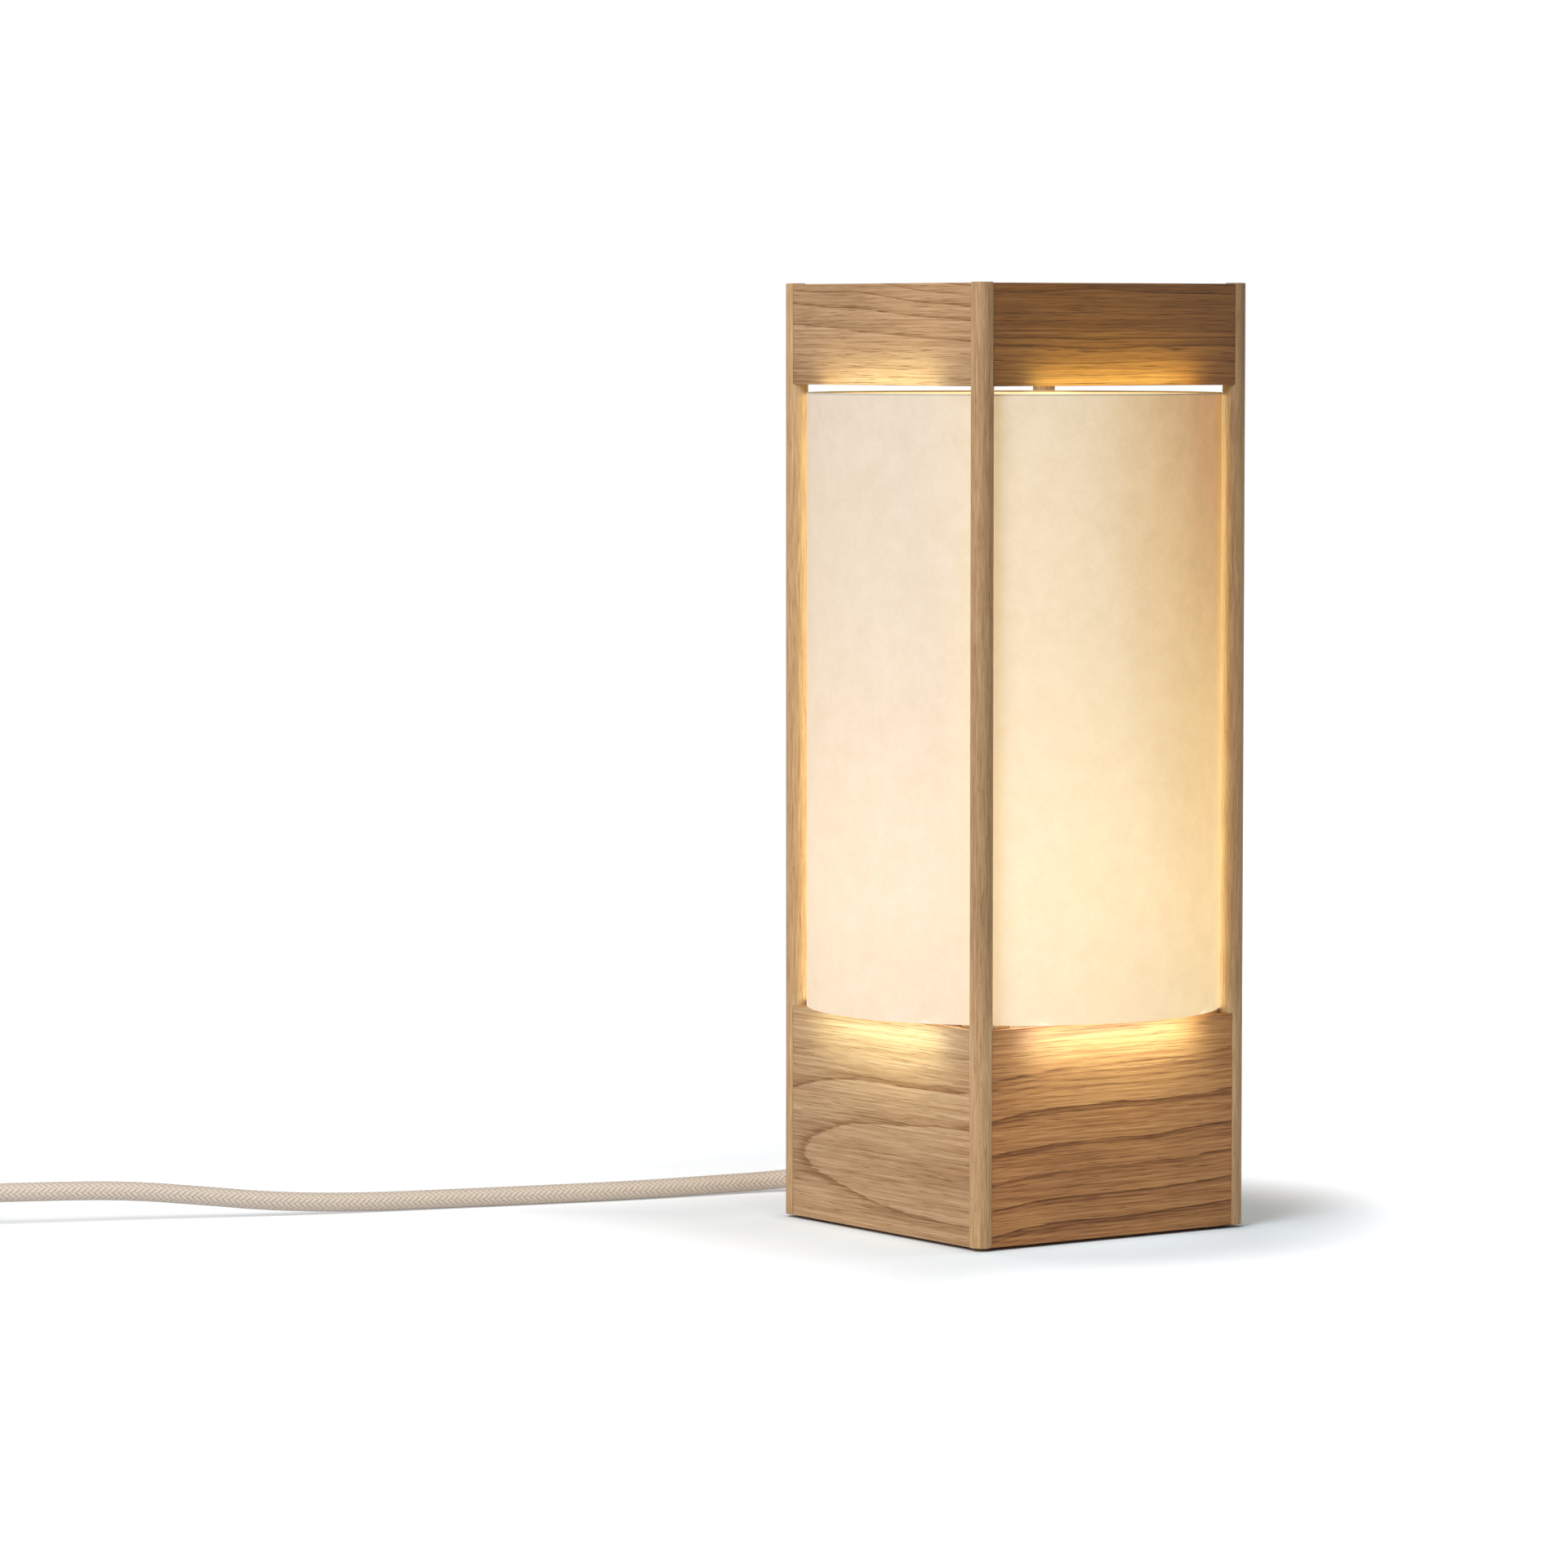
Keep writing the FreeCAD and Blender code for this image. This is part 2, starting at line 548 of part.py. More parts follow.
# Lampholder and bulb, turned about the lamp's axis.
def build_holder():
    foot = "(bracket_span / 2 + bracket_foot)"
    leg = "(bracket_span / 2)"
    inside = "(bracket_span / 2 - bracket_thick)"
    under, flange = f"({BRACKET_TOP} - bracket_thick)", f"({PLATE_TOP} + bracket_thick)"
    right = [(leg, BRACKET_TOP), (leg, flange), (foot, flange), (foot, PLATE_TOP), (inside, PLATE_TOP),
             (inside, under)]
    profile = right + [(f"-{x}", z) for x, z in reversed(right)]
    places = inner_screw_places()[:2]
    holes = [rod("bracket_bore", "nipple_dia + 4 * thread_slack", ("0", "0", under), "bracket_thick")]
    for name, x, y in places:
        holes.append(rod(f"{name}_way", "screw_dia + 2 * screw_slack", (x, y, PLATE_TOP), "bracket_thick"))
    node("holder_bracket", cut("bracket", strip("bracket_strip", profile, "bracket_width"), holes))
    length = "bracket_thick + plate_thick - screw_slack"
    screws = [pan_screw(name, x, y, flange, length) for name, x, y in places]
    node("bracket_screws", group("bracket_screw_set", screws))

    low = ("0", "0", f"{BRACKET_TOP} - nipple_below")
    node("holder_nipple", cut("nipple", rod("nipple_outside", "nipple_dia", low, "nipple_length"),
                              [rod("nipple_inside", "nipple_bore", low, "nipple_length")]))
    low = ("0", "0", f"{under} - nut_thick")
    thread = "nipple_dia + 2 * thread_slack"
    node("nipple_nut", cut("nut", hexagon("nut_outside", "nut_flats", low, "nut_thick"),
                           [rod("nut_thread", thread, low, "nut_thick")]))

    bore, edge = f"({thread}) / 2", "(holder_dia / 2)"
    hollow = "(holder_dia / 2 - holder_wall)"
    node("holder_cap", turned("cap", [
        (bore, BRACKET_TOP), (f"{edge} - holder_ease", BRACKET_TOP), (edge, f"{BRACKET_TOP} + holder_ease"),
        (edge, CAP_TOP), (hollow, CAP_TOP), (hollow, f"{BRACKET_TOP} + holder_wall + holder_ease"),
        (bore, f"{BRACKET_TOP} + holder_wall + holder_ease")]))
    core = f"({hollow} - insert_slack)"
    node("holder_insert", turned("insert", [
        ("0", INSERT_LOW), (core, INSERT_LOW), (core, INSERT_TOP), ("0", INSERT_TOP)]))
    sleeve_in = "(sleeve_bore / 2)"
    sleeve_out = "(sleeve_bore / 2 + sleeve_wall)"
    shell_in = f"({sleeve_out} + insert_slack)"
    ledge = f"({INSERT_TOP} + insert_slack)"
    node("holder_shell", turned("shell", [
        (shell_in, ledge), (shell_in, SHELL_TOP), (f"{edge} - holder_ease", SHELL_TOP),
        (edge, f"{SHELL_TOP} - holder_ease"), (edge, CAP_TOP), (hollow, CAP_TOP), (hollow, ledge)]))
    node("holder_thread_sleeve", turned("sleeve", [
        (sleeve_in, INSERT_TOP), (sleeve_out, INSERT_TOP), (sleeve_out, f"{INSERT_TOP} + sleeve_height"),
        (sleeve_in, f"{INSERT_TOP} + sleeve_height")]))
    node("holder_contact", turned("contact", [
        ("0", INSERT_TOP), ("contact_dia / 2", INSERT_TOP),
        ("contact_dia / 2", f"{INSERT_TOP} + contact_height / 3"),
        ("contact_tip_dia / 2", f"{INSERT_TOP} + contact_height"), ("0", f"{INSERT_TOP} + contact_height")]))


def build_bulb():
    tip_top = f"({BULB_TIP} + bulb_tip_height)"
    cap_out = "(bulb_cap_dia / 2)"
    cap_in = "(bulb_cap_dia / 2 - bulb_cap_wall)"
    neck = "(globe_neck_dia / 2)"
    node("bulb_contact", turned("tip", [
        ("0", BULB_TIP), ("bulb_tip_dia / 2 - bulb_gap", BULB_TIP), ("bulb_tip_dia / 2", tip_top),
        ("0", tip_top)]))
    node("bulb_insulator", turned("insulator", [
        ("0", tip_top), ("bulb_tip_dia / 2 + bulb_gap", tip_top),
        (cap_out, f"{BULB_CAP_LOW} - bulb_cap_wall"), (cap_out, BULB_CAP_LOW), ("0", BULB_CAP_LOW)]))
    node("bulb_screw_cap", turned("screw_cap", [
        (cap_in, BULB_CAP_LOW), (cap_out, BULB_CAP_LOW), (cap_out, COLLAR_LOW), (cap_in, COLLAR_LOW)]))
    shoulder = f"max({COLLAR_LOW} + bulb_gap; {SHELL_TOP} + 2 * bulb_gap)"
    node("bulb_collar", turned("collar", [
        ("0", COLLAR_LOW), (f"{cap_out} + bulb_gap", COLLAR_LOW), (f"{cap_out} + bulb_gap", shoulder),
        (f"{neck} + bulb_gap", f"{COLLAR_TOP} - collar_rim"), (f"{neck} + bulb_gap", COLLAR_TOP),
        ("0", COLLAR_TOP)]))
    node("bulb_led_board", turned("board", [
        ("0", COLLAR_TOP), ("board_dia / 2", COLLAR_TOP), ("board_dia / 2", f"{COLLAR_TOP} + board_thick"),
        ("0", f"{COLLAR_TOP} + board_thick")]))
    balls = []
    for name, diameter in (("globe_outside", "globe_dia"), ("globe_inside", "globe_dia - 2 * globe_wall")):
        ball = doc.addObject("Part::Sphere", name)
        bind(ball, Radius=f"({diameter}) / 2")
        place(ball, "0", "0", GLOBE_MIDDLE)
        balls.append(ball)
    below = box("globe_foot", ("-globe_dia", "-globe_dia", f"{COLLAR_TOP} - globe_dia"),
                ("globe_dia", "globe_dia", COLLAR_TOP))
    node("bulb_globe", cut("globe", balls[0], [balls[1], below]))


# Cord inside the lamp.
def build_cord_entry():
    """The strain relief through the rear panel, its nut, the clamp and the leads up to the holder."""
    bore = "(cord_dia / 2 + cord_slack)"
    thread = f"({RELIEF_THREAD} / 2)"
    flange = f"({thread} + relief_lip)"
    start = f"({INNER} - relief_inside)"
    relief = turned("relief", [
        (bore, start), (thread, start), (thread, OUTER), (flange, OUTER),
        (flange, f"{OUTER} + relief_flange"), (f"{bore} + relief_tip_wall", RELIEF_END), (bore, RELIEF_END)])
    relief.Placement = FreeCAD.Placement(FreeCAD.Vector(), TURN["y"])
    place(relief, "0", "0", "exit_height")
    node("cord_strain_relief", relief)
    low = ("0", f"{INNER} - relief_nut_thick", "exit_height")
    ring = hexagon("relief_nut_outside", RELIEF_NUT, low, "relief_nut_thick", "y")
    node("strain_relief_nut", cut("relief_nut", ring, [
        rod("relief_nut_thread", f"{RELIEF_THREAD} + 2 * thread_slack", low, "relief_nut_thick", "y")]))
    node("inner_cord", rod("jacket", "cord_dia", ("0", "inner_cord_end", "exit_height"),
                           f"{RELIEF_END} - inner_cord_end", "y"))

    near, far = f"{CLAMP_MIDDLE} - clamp_width / 2", f"{CLAMP_MIDDLE} + clamp_width / 2"
    bar_low = "(exit_height + cord_dia / 2)"
    bar_top = f"({bar_low} + clamp_bar_thick)"
    seat = box("clamp_seat", ("-clamp_length / 2", near, PLATE_TOP), ("clamp_length / 2", far, CLAMP_SEAT))
    bar = box("clamp_bar", ("-clamp_length / 2", near, bar_low), ("clamp_length / 2", far, bar_top))
    places = inner_screw_places()[2:]
    ways = [rod(f"{name}_way", "screw_dia + 2 * screw_slack", (x, y, PLATE_TOP), f"{bar_top} - {PLATE_TOP}")
            for name, x, y in places]
    node("cord_clamp_base", cut("clamp_base_cut", seat, ways))
    node("cord_clamp_bar", cut("clamp_bar_cut", bar, ways))
    length = f"{bar_top} - {PLATE_BOTTOM} - screw_slack"
    screws = [pan_screw(name, x, y, bar_top, length) for name, x, y in places]
    node("cord_clamp_screws", group("clamp_screw_set", screws))
    build_leads()


def build_leads():
    """Two insulated leads from the cord's end, round a bend and up through the nipple."""
    bend, level = size("lead_bend"), size("exit_height")
    for label, side in (("live_lead", -1), ("neutral_lead", 1)):
        x = side * size("lead_offset")
        middle = bend * (1 - math.sqrt(0.5))
        start = FreeCAD.Vector(x, size("inner_cord_end"), level)
        turn_in = FreeCAD.Vector(x, bend, level)
        way = FreeCAD.Vector(x, middle, level + middle)
        turn_out = FreeCAD.Vector(x, 0, level + bend)
        end = FreeCAD.Vector(x, 0, size("insert_low"))
        edges = [Part.LineSegment(start, turn_in), Part.Arc(turn_in, way, turn_out),
                 Part.LineSegment(turn_out, end)]
        node(label, solid_piece(label, swept(edges, start, turn_in - start, size("lead_dia"))))


def swept(curves, start, direction, diameter):
    """A round section carried along joined curves, with its volume compared with section times length."""
    path = Part.Wire([curve.toShape() for curve in curves])
    section = Part.Wire([Part.Circle(start, direction, diameter / 2).toShape()])
    solid = path.makePipeShell([section], True, False)
    expected = math.pi * diameter ** 2 / 4 * path.Length
    assert abs(solid.Volume / expected - 1) < 0.01, (solid.Volume, expected)
    return solid


def tube(name, route, diameter):
    """A cord's stretch: straight runs joined by arcs as large as the runs allow."""
    points = [FreeCAD.Vector(*p) for p in route]
    curves, last, radii = [], points[0], []
    for before, corner, after in zip(points, points[1:], points[2:]):
        back, ahead = before - corner, after - corner
        reach = 0.45 * min(back.Length, ahead.Length)
        half_turn = (math.pi - back.getAngle(ahead)) / 2
        radius = reach / math.tan(half_turn)
        radii.append(round(radius, 1))
        back.normalize()
        ahead.normalize()
        enter, leave = corner + back * reach, corner + ahead * reach
        towards = (back + ahead).normalize()
        middle = corner + towards * (radius / math.cos(half_turn) - radius)
        curves += [Part.LineSegment(last, enter), Part.Arc(enter, middle, leave)]
        last = leave
    curves.append(Part.LineSegment(last, points[-1]))
    print(name, "bend radii", radii)
    return solid_piece(name, swept(curves, points[0], points[1] - points[0], diameter))


def cord_route():
    """The points of the cord's free run, from the strain relief to the switch."""
    radius = size("cord_dia") / 2
    legs = ((CORD_FALL, size("exit_height")), (CORD_RISE, size("coil_high")))
    return [(x, size("relief_end") + y, radius + share * (high - radius))
            for leg, high in legs for x, y, share in leg]


# The stored end of the cord has its own frame: X on from the cord's run, Y to its left, Z up.
SWITCH_START = FreeCAD.Vector(*cord_route()[-1])
HEADING = SWITCH_START - FreeCAD.Vector(*cord_route()[-2])
STORE = FreeCAD.Placement(
    FreeCAD.Vector(SWITCH_START.x, SWITCH_START.y, 0),
    FreeCAD.Rotation(math.degrees(math.atan2(HEADING.y, HEADING.x)), 0, 0))


def stored(label, obj, local=FreeCAD.Placement()):
    """Names a piece of the stored end and puts it in place."""
    piece = group(f"{label}_placed", [obj])
    piece.Placement = STORE.multiply(local)
    return node(label, piece)


def build_switch():
    """Two housing halves that meet at the cord's height, a rocker on a pin, contacts and screws."""
    split = "coil_high"
    end, side, nose, taper = "switch_length", "(switch_width / 2)", "(switch_nose / 2)", "switch_taper"
    plan = [("0", f"-{nose}"), (taper, f"-{side}"), (f"{end} - {taper}", f"-{side}"), (end, f"-{nose}"),
            (end, nose), (f"{end} - {taper}", side), (taper, side), ("0", nose)]
    wall = "switch_wall"
    left = [(wall, f"{nose} - {wall}"), (taper, f"{side} - {wall}"), (f"{end} - {taper}", f"{side} - {wall}"),
            (f"{end} - {wall}", f"{nose} - {wall}")]
    room = [(x, f"-({y})") for x, y in left] + left[::-1]
    middle = "(switch_length / 2)"
    ends = ["switch_boss_inset", "switch_length - switch_boss_inset"]
    ways, screws = [], []
    for number, x in enumerate(ends):
        ways.append(screw(
            f"switch_way{number}", x, "0", "0",
            "switch_screw_dia + 2 * thread_slack", "switch_screw_length + screw_end_slack",
            "switch_head_dia + 2 * thread_slack", "switch_head_deep"))
        screws.append(screw(
            f"switch_screw{number}", x, "0", "0",
            "switch_screw_dia", "switch_screw_length", "switch_head_dia", "switch_head_deep"))
    halves = {"lower": ("0", split, wall, split),
              "upper": (split, "switch_height", split, f"switch_height - {wall}")}
    opening_x = "(rocker_length / 2 + rocker_gap)"
    opening_y = "(rocker_width / 2 + rocker_side_gap)"
    start = (middle, f"-{side} + {wall}", PIVOT_HEIGHT)
    pivot = rod("pivot_way", "pivot_dia + 2 * pivot_slack", start, f"2 * ({side} - {wall})", "y")
    for half, (low, high, room_low, room_high) in halves.items():
        hollow = cut(f"switch_{half}_hollow", plank(f"switch_{half}_block", plan, low, high),
                     [plank(f"switch_{half}_room", room, room_low, room_high)])
        pieces = [hollow]
        for number, x in enumerate(ends):
            pieces.append(rod(f"switch_{half}_boss{number}", "switch_boss_dia", (x, "0", room_low),
                              f"({room_high}) - ({room_low})"))
        cuts = list(ways)
        if half == "upper":
            for sign in (-1, 1):
                y_low, y_high = span(sign, opening_y, f"{opening_y} + lug_thick")
                low_corner = (f"{middle} - lug_length / 2", y_low, f"{PIVOT_HEIGHT} - pivot_dia")
                high_corner = (f"{middle} + lug_length / 2", y_high, room_high)
                pieces.append(box(f"lug{sign + 1}", low_corner, high_corner))
            low_corner = (f"{middle} - {opening_x}", f"-{opening_y}", room_high)
            high_corner = (f"{middle} + {opening_x}", opening_y, f"{high} + {wall}")
            cuts.append(box("rocker_opening", low_corner, high_corner))
            cuts.append(pivot)
        whole = joined(f"switch_{half}_whole", pieces)
        stored(f"switch_{half}_housing", cut(f"switch_{half}", whole, cuts))
    stored("switch_screws", group("switch_screw_set", screws))
    posts = []
    contact_top = f"{PIVOT_HEIGHT} - rocker_below - contact_clear"
    for number, sign in enumerate((-1, 1)):
        x = f"{middle} + {sign} * contact_gap / 2"
        posts.append(box(f"contact_post{number}", (f"{x} - contact_side / 2", "-contact_side / 2", wall),
                         (f"{x} + contact_side / 2", "contact_side / 2", contact_top)))
    stored("switch_contacts", group("contact_posts", posts))
    reach = f"({opening_y} + lug_thick)"
    start = (middle, f"-{reach}", PIVOT_HEIGHT)
    stored("switch_pivot_pin", rod("pivot", "pivot_dia", start, f"2 * {reach}", "y"))
    build_rocker()


def build_rocker():
    half = "(rocker_length / 2)"
    blank = strip("rocker_blank", [
        (f"-{half}", "-rocker_below"), (half, "-rocker_below"), (half, "rocker_above"),
        ("0", "rocker_above - rocker_dip"), (f"-{half}", "rocker_above")], "rocker_width")
    start = ("0", "-rocker_width", "0")
    way = rod("rocker_way", "pivot_dia + 2 * pivot_slack", start, "2 * rocker_width", "y")
    lean = FreeCAD.Placement(
        FreeCAD.Vector(size("switch_length") / 2, 0, size("switch_height") - size("pivot_drop")),
        FreeCAD.Rotation(FreeCAD.Vector(0, 1, 0), ROCKER_LEAN))
    stored("switch_rocker", cut("rocker", blank, [way]), lean)


# Stored cord: a two-layer coil that spirals in on top, drops a layer and spirals out underneath.
def coil_passes():
    """Where the cord crosses the coil's base line, in order, and the height of each crossing."""
    step, outer, low = size("coil_step"), size("coil_radius"), size("coil_low")
    near, far = outer - step / 4, outer + step / 4
    passes = []
    for loop in range(COIL_LOOPS):
        passes += [(near - loop * step, low + step), (-(far - loop * step), low + step)]
    for loop in range(COIL_LOOPS):
        passes += [(near - (COIL_LOOPS - loop) * step, low), (-(far - (COIL_LOOPS - 2 - loop) * step), low)]
    return passes


def build_coil():
    step, outer, diameter = size("coil_step"), size("coil_radius"), size("cord_dia")
    start_x = size("switch_length") + size("tail_length") + diameter
    centre = FreeCAD.Vector(start_x, outer - step / 4, 0)

    def at(u, v, z):
        return FreeCAD.Vector(centre.x + v, centre.y - u, z)

    passes = coil_passes()
    begin = at(passes[0][0], 0, passes[0][1])
    lead_in = begin - FreeCAD.Vector(diameter, 0, 0)
    curves, points = [Part.LineSegment(lead_in, begin)], []
    for number, ((u0, z0), (u1, z1)) in enumerate(zip(passes, passes[1:])):
        side = 1 if number % 2 == 0 else -1
        middle, radius = (u0 + u1) / 2, math.hypot(u1 - u0, z1 - z0) / 2
        if number < len(passes) - 2:
            curves.append(Part.Arc(at(u0, 0, z0), at(middle, side * radius, (z0 + z1) / 2), at(u1, 0, z1)))
            continue
        slant = radius * math.sqrt(0.5)
        leave = at(middle, side * radius, z0)
        curves.append(Part.Arc(at(u0, 0, z0), at(middle + slant, side * slant, z0), leave))
    stop = leave + FreeCAD.Vector(0, diameter, 0)
    curves.append(Part.LineSegment(leave, stop))
    stored("cord_coil", solid_piece("coil", swept(curves, lead_in, begin - lead_in, diameter)))
    print("coil length", round(sum(c.toShape().Length for c in curves), 1), "least gap to itself",
          round(least_gap(curves, diameter), 2))

    level = passes[0][1]
    start = FreeCAD.Vector(size("switch_length"), 0, level)
    tail = swept([Part.LineSegment(start, lead_in)], start, lead_in - start, diameter)
    stored("cord_tail", solid_piece("tail", tail))
    build_tie(centre, passes)
    build_plug(stop)


def least_gap(curves, diameter):
    """Smallest room between two stretches of the coil, measured on points along its middle line."""
    spacing, apart = 3.0, 12
    path = Part.Wire([curve.toShape() for curve in curves])
    points = path.discretize(Distance=spacing)
    return min(p.distanceToPoint(q) for i, p in enumerate(points) for q in points[i + apart:]) - diameter


def build_tie(centre, passes):
    """A strap round all the turns, where the two layers lie squarely on each other."""
    step, outer, thick = size("coil_step"), size("coil_radius"), size("tie_thick")
    half_cord, room = size("cord_dia") / 2, size("tie_room")
    inner, reach = outer - (COIL_LOOPS - 1) * step, (step + size("tie_width")) / 2
    sag = inner - math.sqrt(inner ** 2 - reach ** 2)
    near = centre.x + inner - half_cord - sag - room
    far = centre.x + outer + half_cord + 2 * room
    top = passes[0][1] + half_cord + size("tie_clear")
    middle = centre.y + step * 0.75 - size("tie_width") / 2
    outside = box("tie_outside", (f"{near} - tie_thick", str(middle), "0"),
                  (f"{far} + tie_thick", f"{middle} + tie_width", f"{top} + tie_thick"))
    inside = box("tie_inside", (str(near), str(middle), "tie_thick"),
                 (str(far), f"{middle} + tie_width", str(top)))
    stored("coil_tie", cut("tie", outside, [inside]))


def build_plug(stop):
    """The last short stretch of cord rises to the plug, which lies flat beside the coil."""
    axis_height, diameter = size("plug_thick") / 2, size("cord_dia")
    rise = FreeCAD.Vector(0, size("plug_rise"), axis_height - stop.z)
    level = FreeCAD.Vector(0, size("plug_lead"), 0)
    route = [stop, stop + level, stop + level + rise, stop + level + rise + level]
    stored("cord_end", tube("cord_end", route, diameter))
    foot = route[-1]
    relief = cone("plug_relief", "plug_relief_tip", "plug_neck", ("0", "0", "plug_thick / 2"),
                  "plug_relief_length", "y")
    half, neck, back = "(plug_width / 2)", "(plug_neck / 2)", "plug_relief_length"
    shoulder, front = "plug_relief_length + plug_shoulder", "(plug_relief_length + plug_length)"
    body = plank("plug_block", [(neck, back), (half, shoulder), (half, front), (f"-{half}", front),
                                (f"-{half}", shoulder), (f"-{neck}", back)], "0", "plug_thick")
    pins = group("plug_pin_pair", [
        rod(f"plug_pin{number}", "plug_pin_dia", (f"{sign} * plug_pin_gap / 2", front, "plug_thick / 2"),
            "plug_pin_length", "y") for number, sign in enumerate((-1, 1))])
    here = FreeCAD.Placement(FreeCAD.Vector(foot.x, foot.y, 0), FreeCAD.Rotation())
    stored("plug_strain_relief", relief, here)
    stored("plug_body", body, here)
    stored("plug_pins", pins, here)


build_frame()
build_base()
build_shade()
build_holder()
build_bulb()
build_cord_entry()
node("cord_run", tube("cord_run", cord_route(), size("cord_dia")))
build_switch()
build_coil()
doc.recompute()

failed = [obj.Name for obj in doc.Objects if {"Invalid", "Error"} & set(obj.State)]
assert not failed, failed
for label, piece in nodes.items():
    assert not piece.Shape.isNull() and piece.Shape.isValid(), label
    assert piece.Shape.Solids and piece.Shape.Volume > 0, label

os.makedirs("parts", exist_ok=True)
for label, piece in nodes.items():
    piece.Shape.exportStep(f"parts/{label}.step")
print(len(nodes), "pieces")
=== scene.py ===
"""A lit lantern table lamp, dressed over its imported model.

Every piece is in metres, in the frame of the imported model: Z up from the floor, the cord leaving towards +Y.
Sizes are written in millimetres and turned to metres where meshes are made.
"""

from __future__ import annotations

import json
import logging
import math
from dataclasses import dataclass
from enum import Enum
from typing import Callable, Mapping, Sequence, Union

import bmesh
import bpy
from mathutils import Matrix, Vector
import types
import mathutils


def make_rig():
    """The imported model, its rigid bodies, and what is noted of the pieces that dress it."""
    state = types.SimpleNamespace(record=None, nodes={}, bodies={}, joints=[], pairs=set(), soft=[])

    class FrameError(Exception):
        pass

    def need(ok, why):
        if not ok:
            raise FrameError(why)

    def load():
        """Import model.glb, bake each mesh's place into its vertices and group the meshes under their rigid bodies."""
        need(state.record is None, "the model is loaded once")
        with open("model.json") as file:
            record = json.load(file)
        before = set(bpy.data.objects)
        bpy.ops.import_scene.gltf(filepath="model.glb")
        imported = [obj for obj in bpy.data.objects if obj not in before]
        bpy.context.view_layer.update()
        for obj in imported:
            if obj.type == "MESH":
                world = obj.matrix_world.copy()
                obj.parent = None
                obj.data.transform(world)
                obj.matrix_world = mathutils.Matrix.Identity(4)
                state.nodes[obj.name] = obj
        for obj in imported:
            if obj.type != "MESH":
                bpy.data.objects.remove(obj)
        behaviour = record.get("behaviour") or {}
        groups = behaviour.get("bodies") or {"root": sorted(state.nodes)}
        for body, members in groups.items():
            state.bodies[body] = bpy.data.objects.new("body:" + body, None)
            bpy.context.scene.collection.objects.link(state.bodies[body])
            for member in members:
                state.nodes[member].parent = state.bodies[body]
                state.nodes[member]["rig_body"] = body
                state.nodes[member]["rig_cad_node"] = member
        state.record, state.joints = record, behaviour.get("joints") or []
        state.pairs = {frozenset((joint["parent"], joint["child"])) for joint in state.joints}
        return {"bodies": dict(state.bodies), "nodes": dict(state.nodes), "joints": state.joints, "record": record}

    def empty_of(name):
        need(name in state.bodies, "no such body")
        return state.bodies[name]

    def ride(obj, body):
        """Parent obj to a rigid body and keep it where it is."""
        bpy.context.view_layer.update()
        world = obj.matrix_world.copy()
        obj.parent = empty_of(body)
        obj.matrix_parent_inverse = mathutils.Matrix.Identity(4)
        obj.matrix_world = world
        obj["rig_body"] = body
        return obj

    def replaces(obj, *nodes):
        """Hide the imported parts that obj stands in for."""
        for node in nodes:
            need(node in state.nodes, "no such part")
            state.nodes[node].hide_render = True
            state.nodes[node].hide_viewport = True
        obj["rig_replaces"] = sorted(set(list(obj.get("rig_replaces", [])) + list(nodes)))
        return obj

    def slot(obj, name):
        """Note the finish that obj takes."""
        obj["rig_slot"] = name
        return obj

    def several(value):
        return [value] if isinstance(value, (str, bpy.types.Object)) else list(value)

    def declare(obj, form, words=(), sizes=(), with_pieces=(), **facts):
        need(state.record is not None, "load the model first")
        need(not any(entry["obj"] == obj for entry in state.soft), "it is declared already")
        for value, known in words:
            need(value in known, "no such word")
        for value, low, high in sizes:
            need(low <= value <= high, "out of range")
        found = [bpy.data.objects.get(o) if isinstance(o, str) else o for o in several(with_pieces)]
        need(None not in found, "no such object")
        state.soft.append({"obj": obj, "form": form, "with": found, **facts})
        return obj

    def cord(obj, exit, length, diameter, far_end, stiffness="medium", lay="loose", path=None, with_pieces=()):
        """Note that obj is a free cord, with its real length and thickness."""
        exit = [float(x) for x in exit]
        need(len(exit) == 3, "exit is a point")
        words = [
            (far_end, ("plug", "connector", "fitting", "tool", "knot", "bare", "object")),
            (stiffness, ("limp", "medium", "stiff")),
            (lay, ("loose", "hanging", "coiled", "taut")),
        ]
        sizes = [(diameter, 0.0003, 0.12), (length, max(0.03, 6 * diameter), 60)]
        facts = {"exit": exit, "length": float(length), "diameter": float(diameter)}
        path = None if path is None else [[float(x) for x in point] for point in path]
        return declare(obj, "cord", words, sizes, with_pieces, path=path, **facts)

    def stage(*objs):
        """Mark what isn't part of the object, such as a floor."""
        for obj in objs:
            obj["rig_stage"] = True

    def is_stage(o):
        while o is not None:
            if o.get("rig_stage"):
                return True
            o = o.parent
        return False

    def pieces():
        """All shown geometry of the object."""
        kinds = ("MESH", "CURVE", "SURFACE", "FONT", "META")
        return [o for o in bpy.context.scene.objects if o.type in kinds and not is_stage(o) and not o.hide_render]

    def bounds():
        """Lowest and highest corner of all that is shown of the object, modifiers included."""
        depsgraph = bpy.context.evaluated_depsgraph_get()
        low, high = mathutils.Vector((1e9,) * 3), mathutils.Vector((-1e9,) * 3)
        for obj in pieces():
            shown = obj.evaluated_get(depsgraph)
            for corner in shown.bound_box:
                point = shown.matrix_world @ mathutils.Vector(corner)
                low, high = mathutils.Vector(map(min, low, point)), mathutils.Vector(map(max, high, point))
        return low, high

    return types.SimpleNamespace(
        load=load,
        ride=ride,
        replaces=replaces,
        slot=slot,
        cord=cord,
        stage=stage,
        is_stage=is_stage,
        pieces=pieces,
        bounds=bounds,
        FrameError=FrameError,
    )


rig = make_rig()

MM = 0.001
PER_METRE = 1000.0
WELD = 1e-7  # points closer than this, in metres, are one
SHARP = 35.0  # edges that turn more than this, in degrees, stay sharp
HERE = Matrix.Identity(4)
SIZE_FILE = "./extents.json"
LOG = logging.getLogger("lamp")

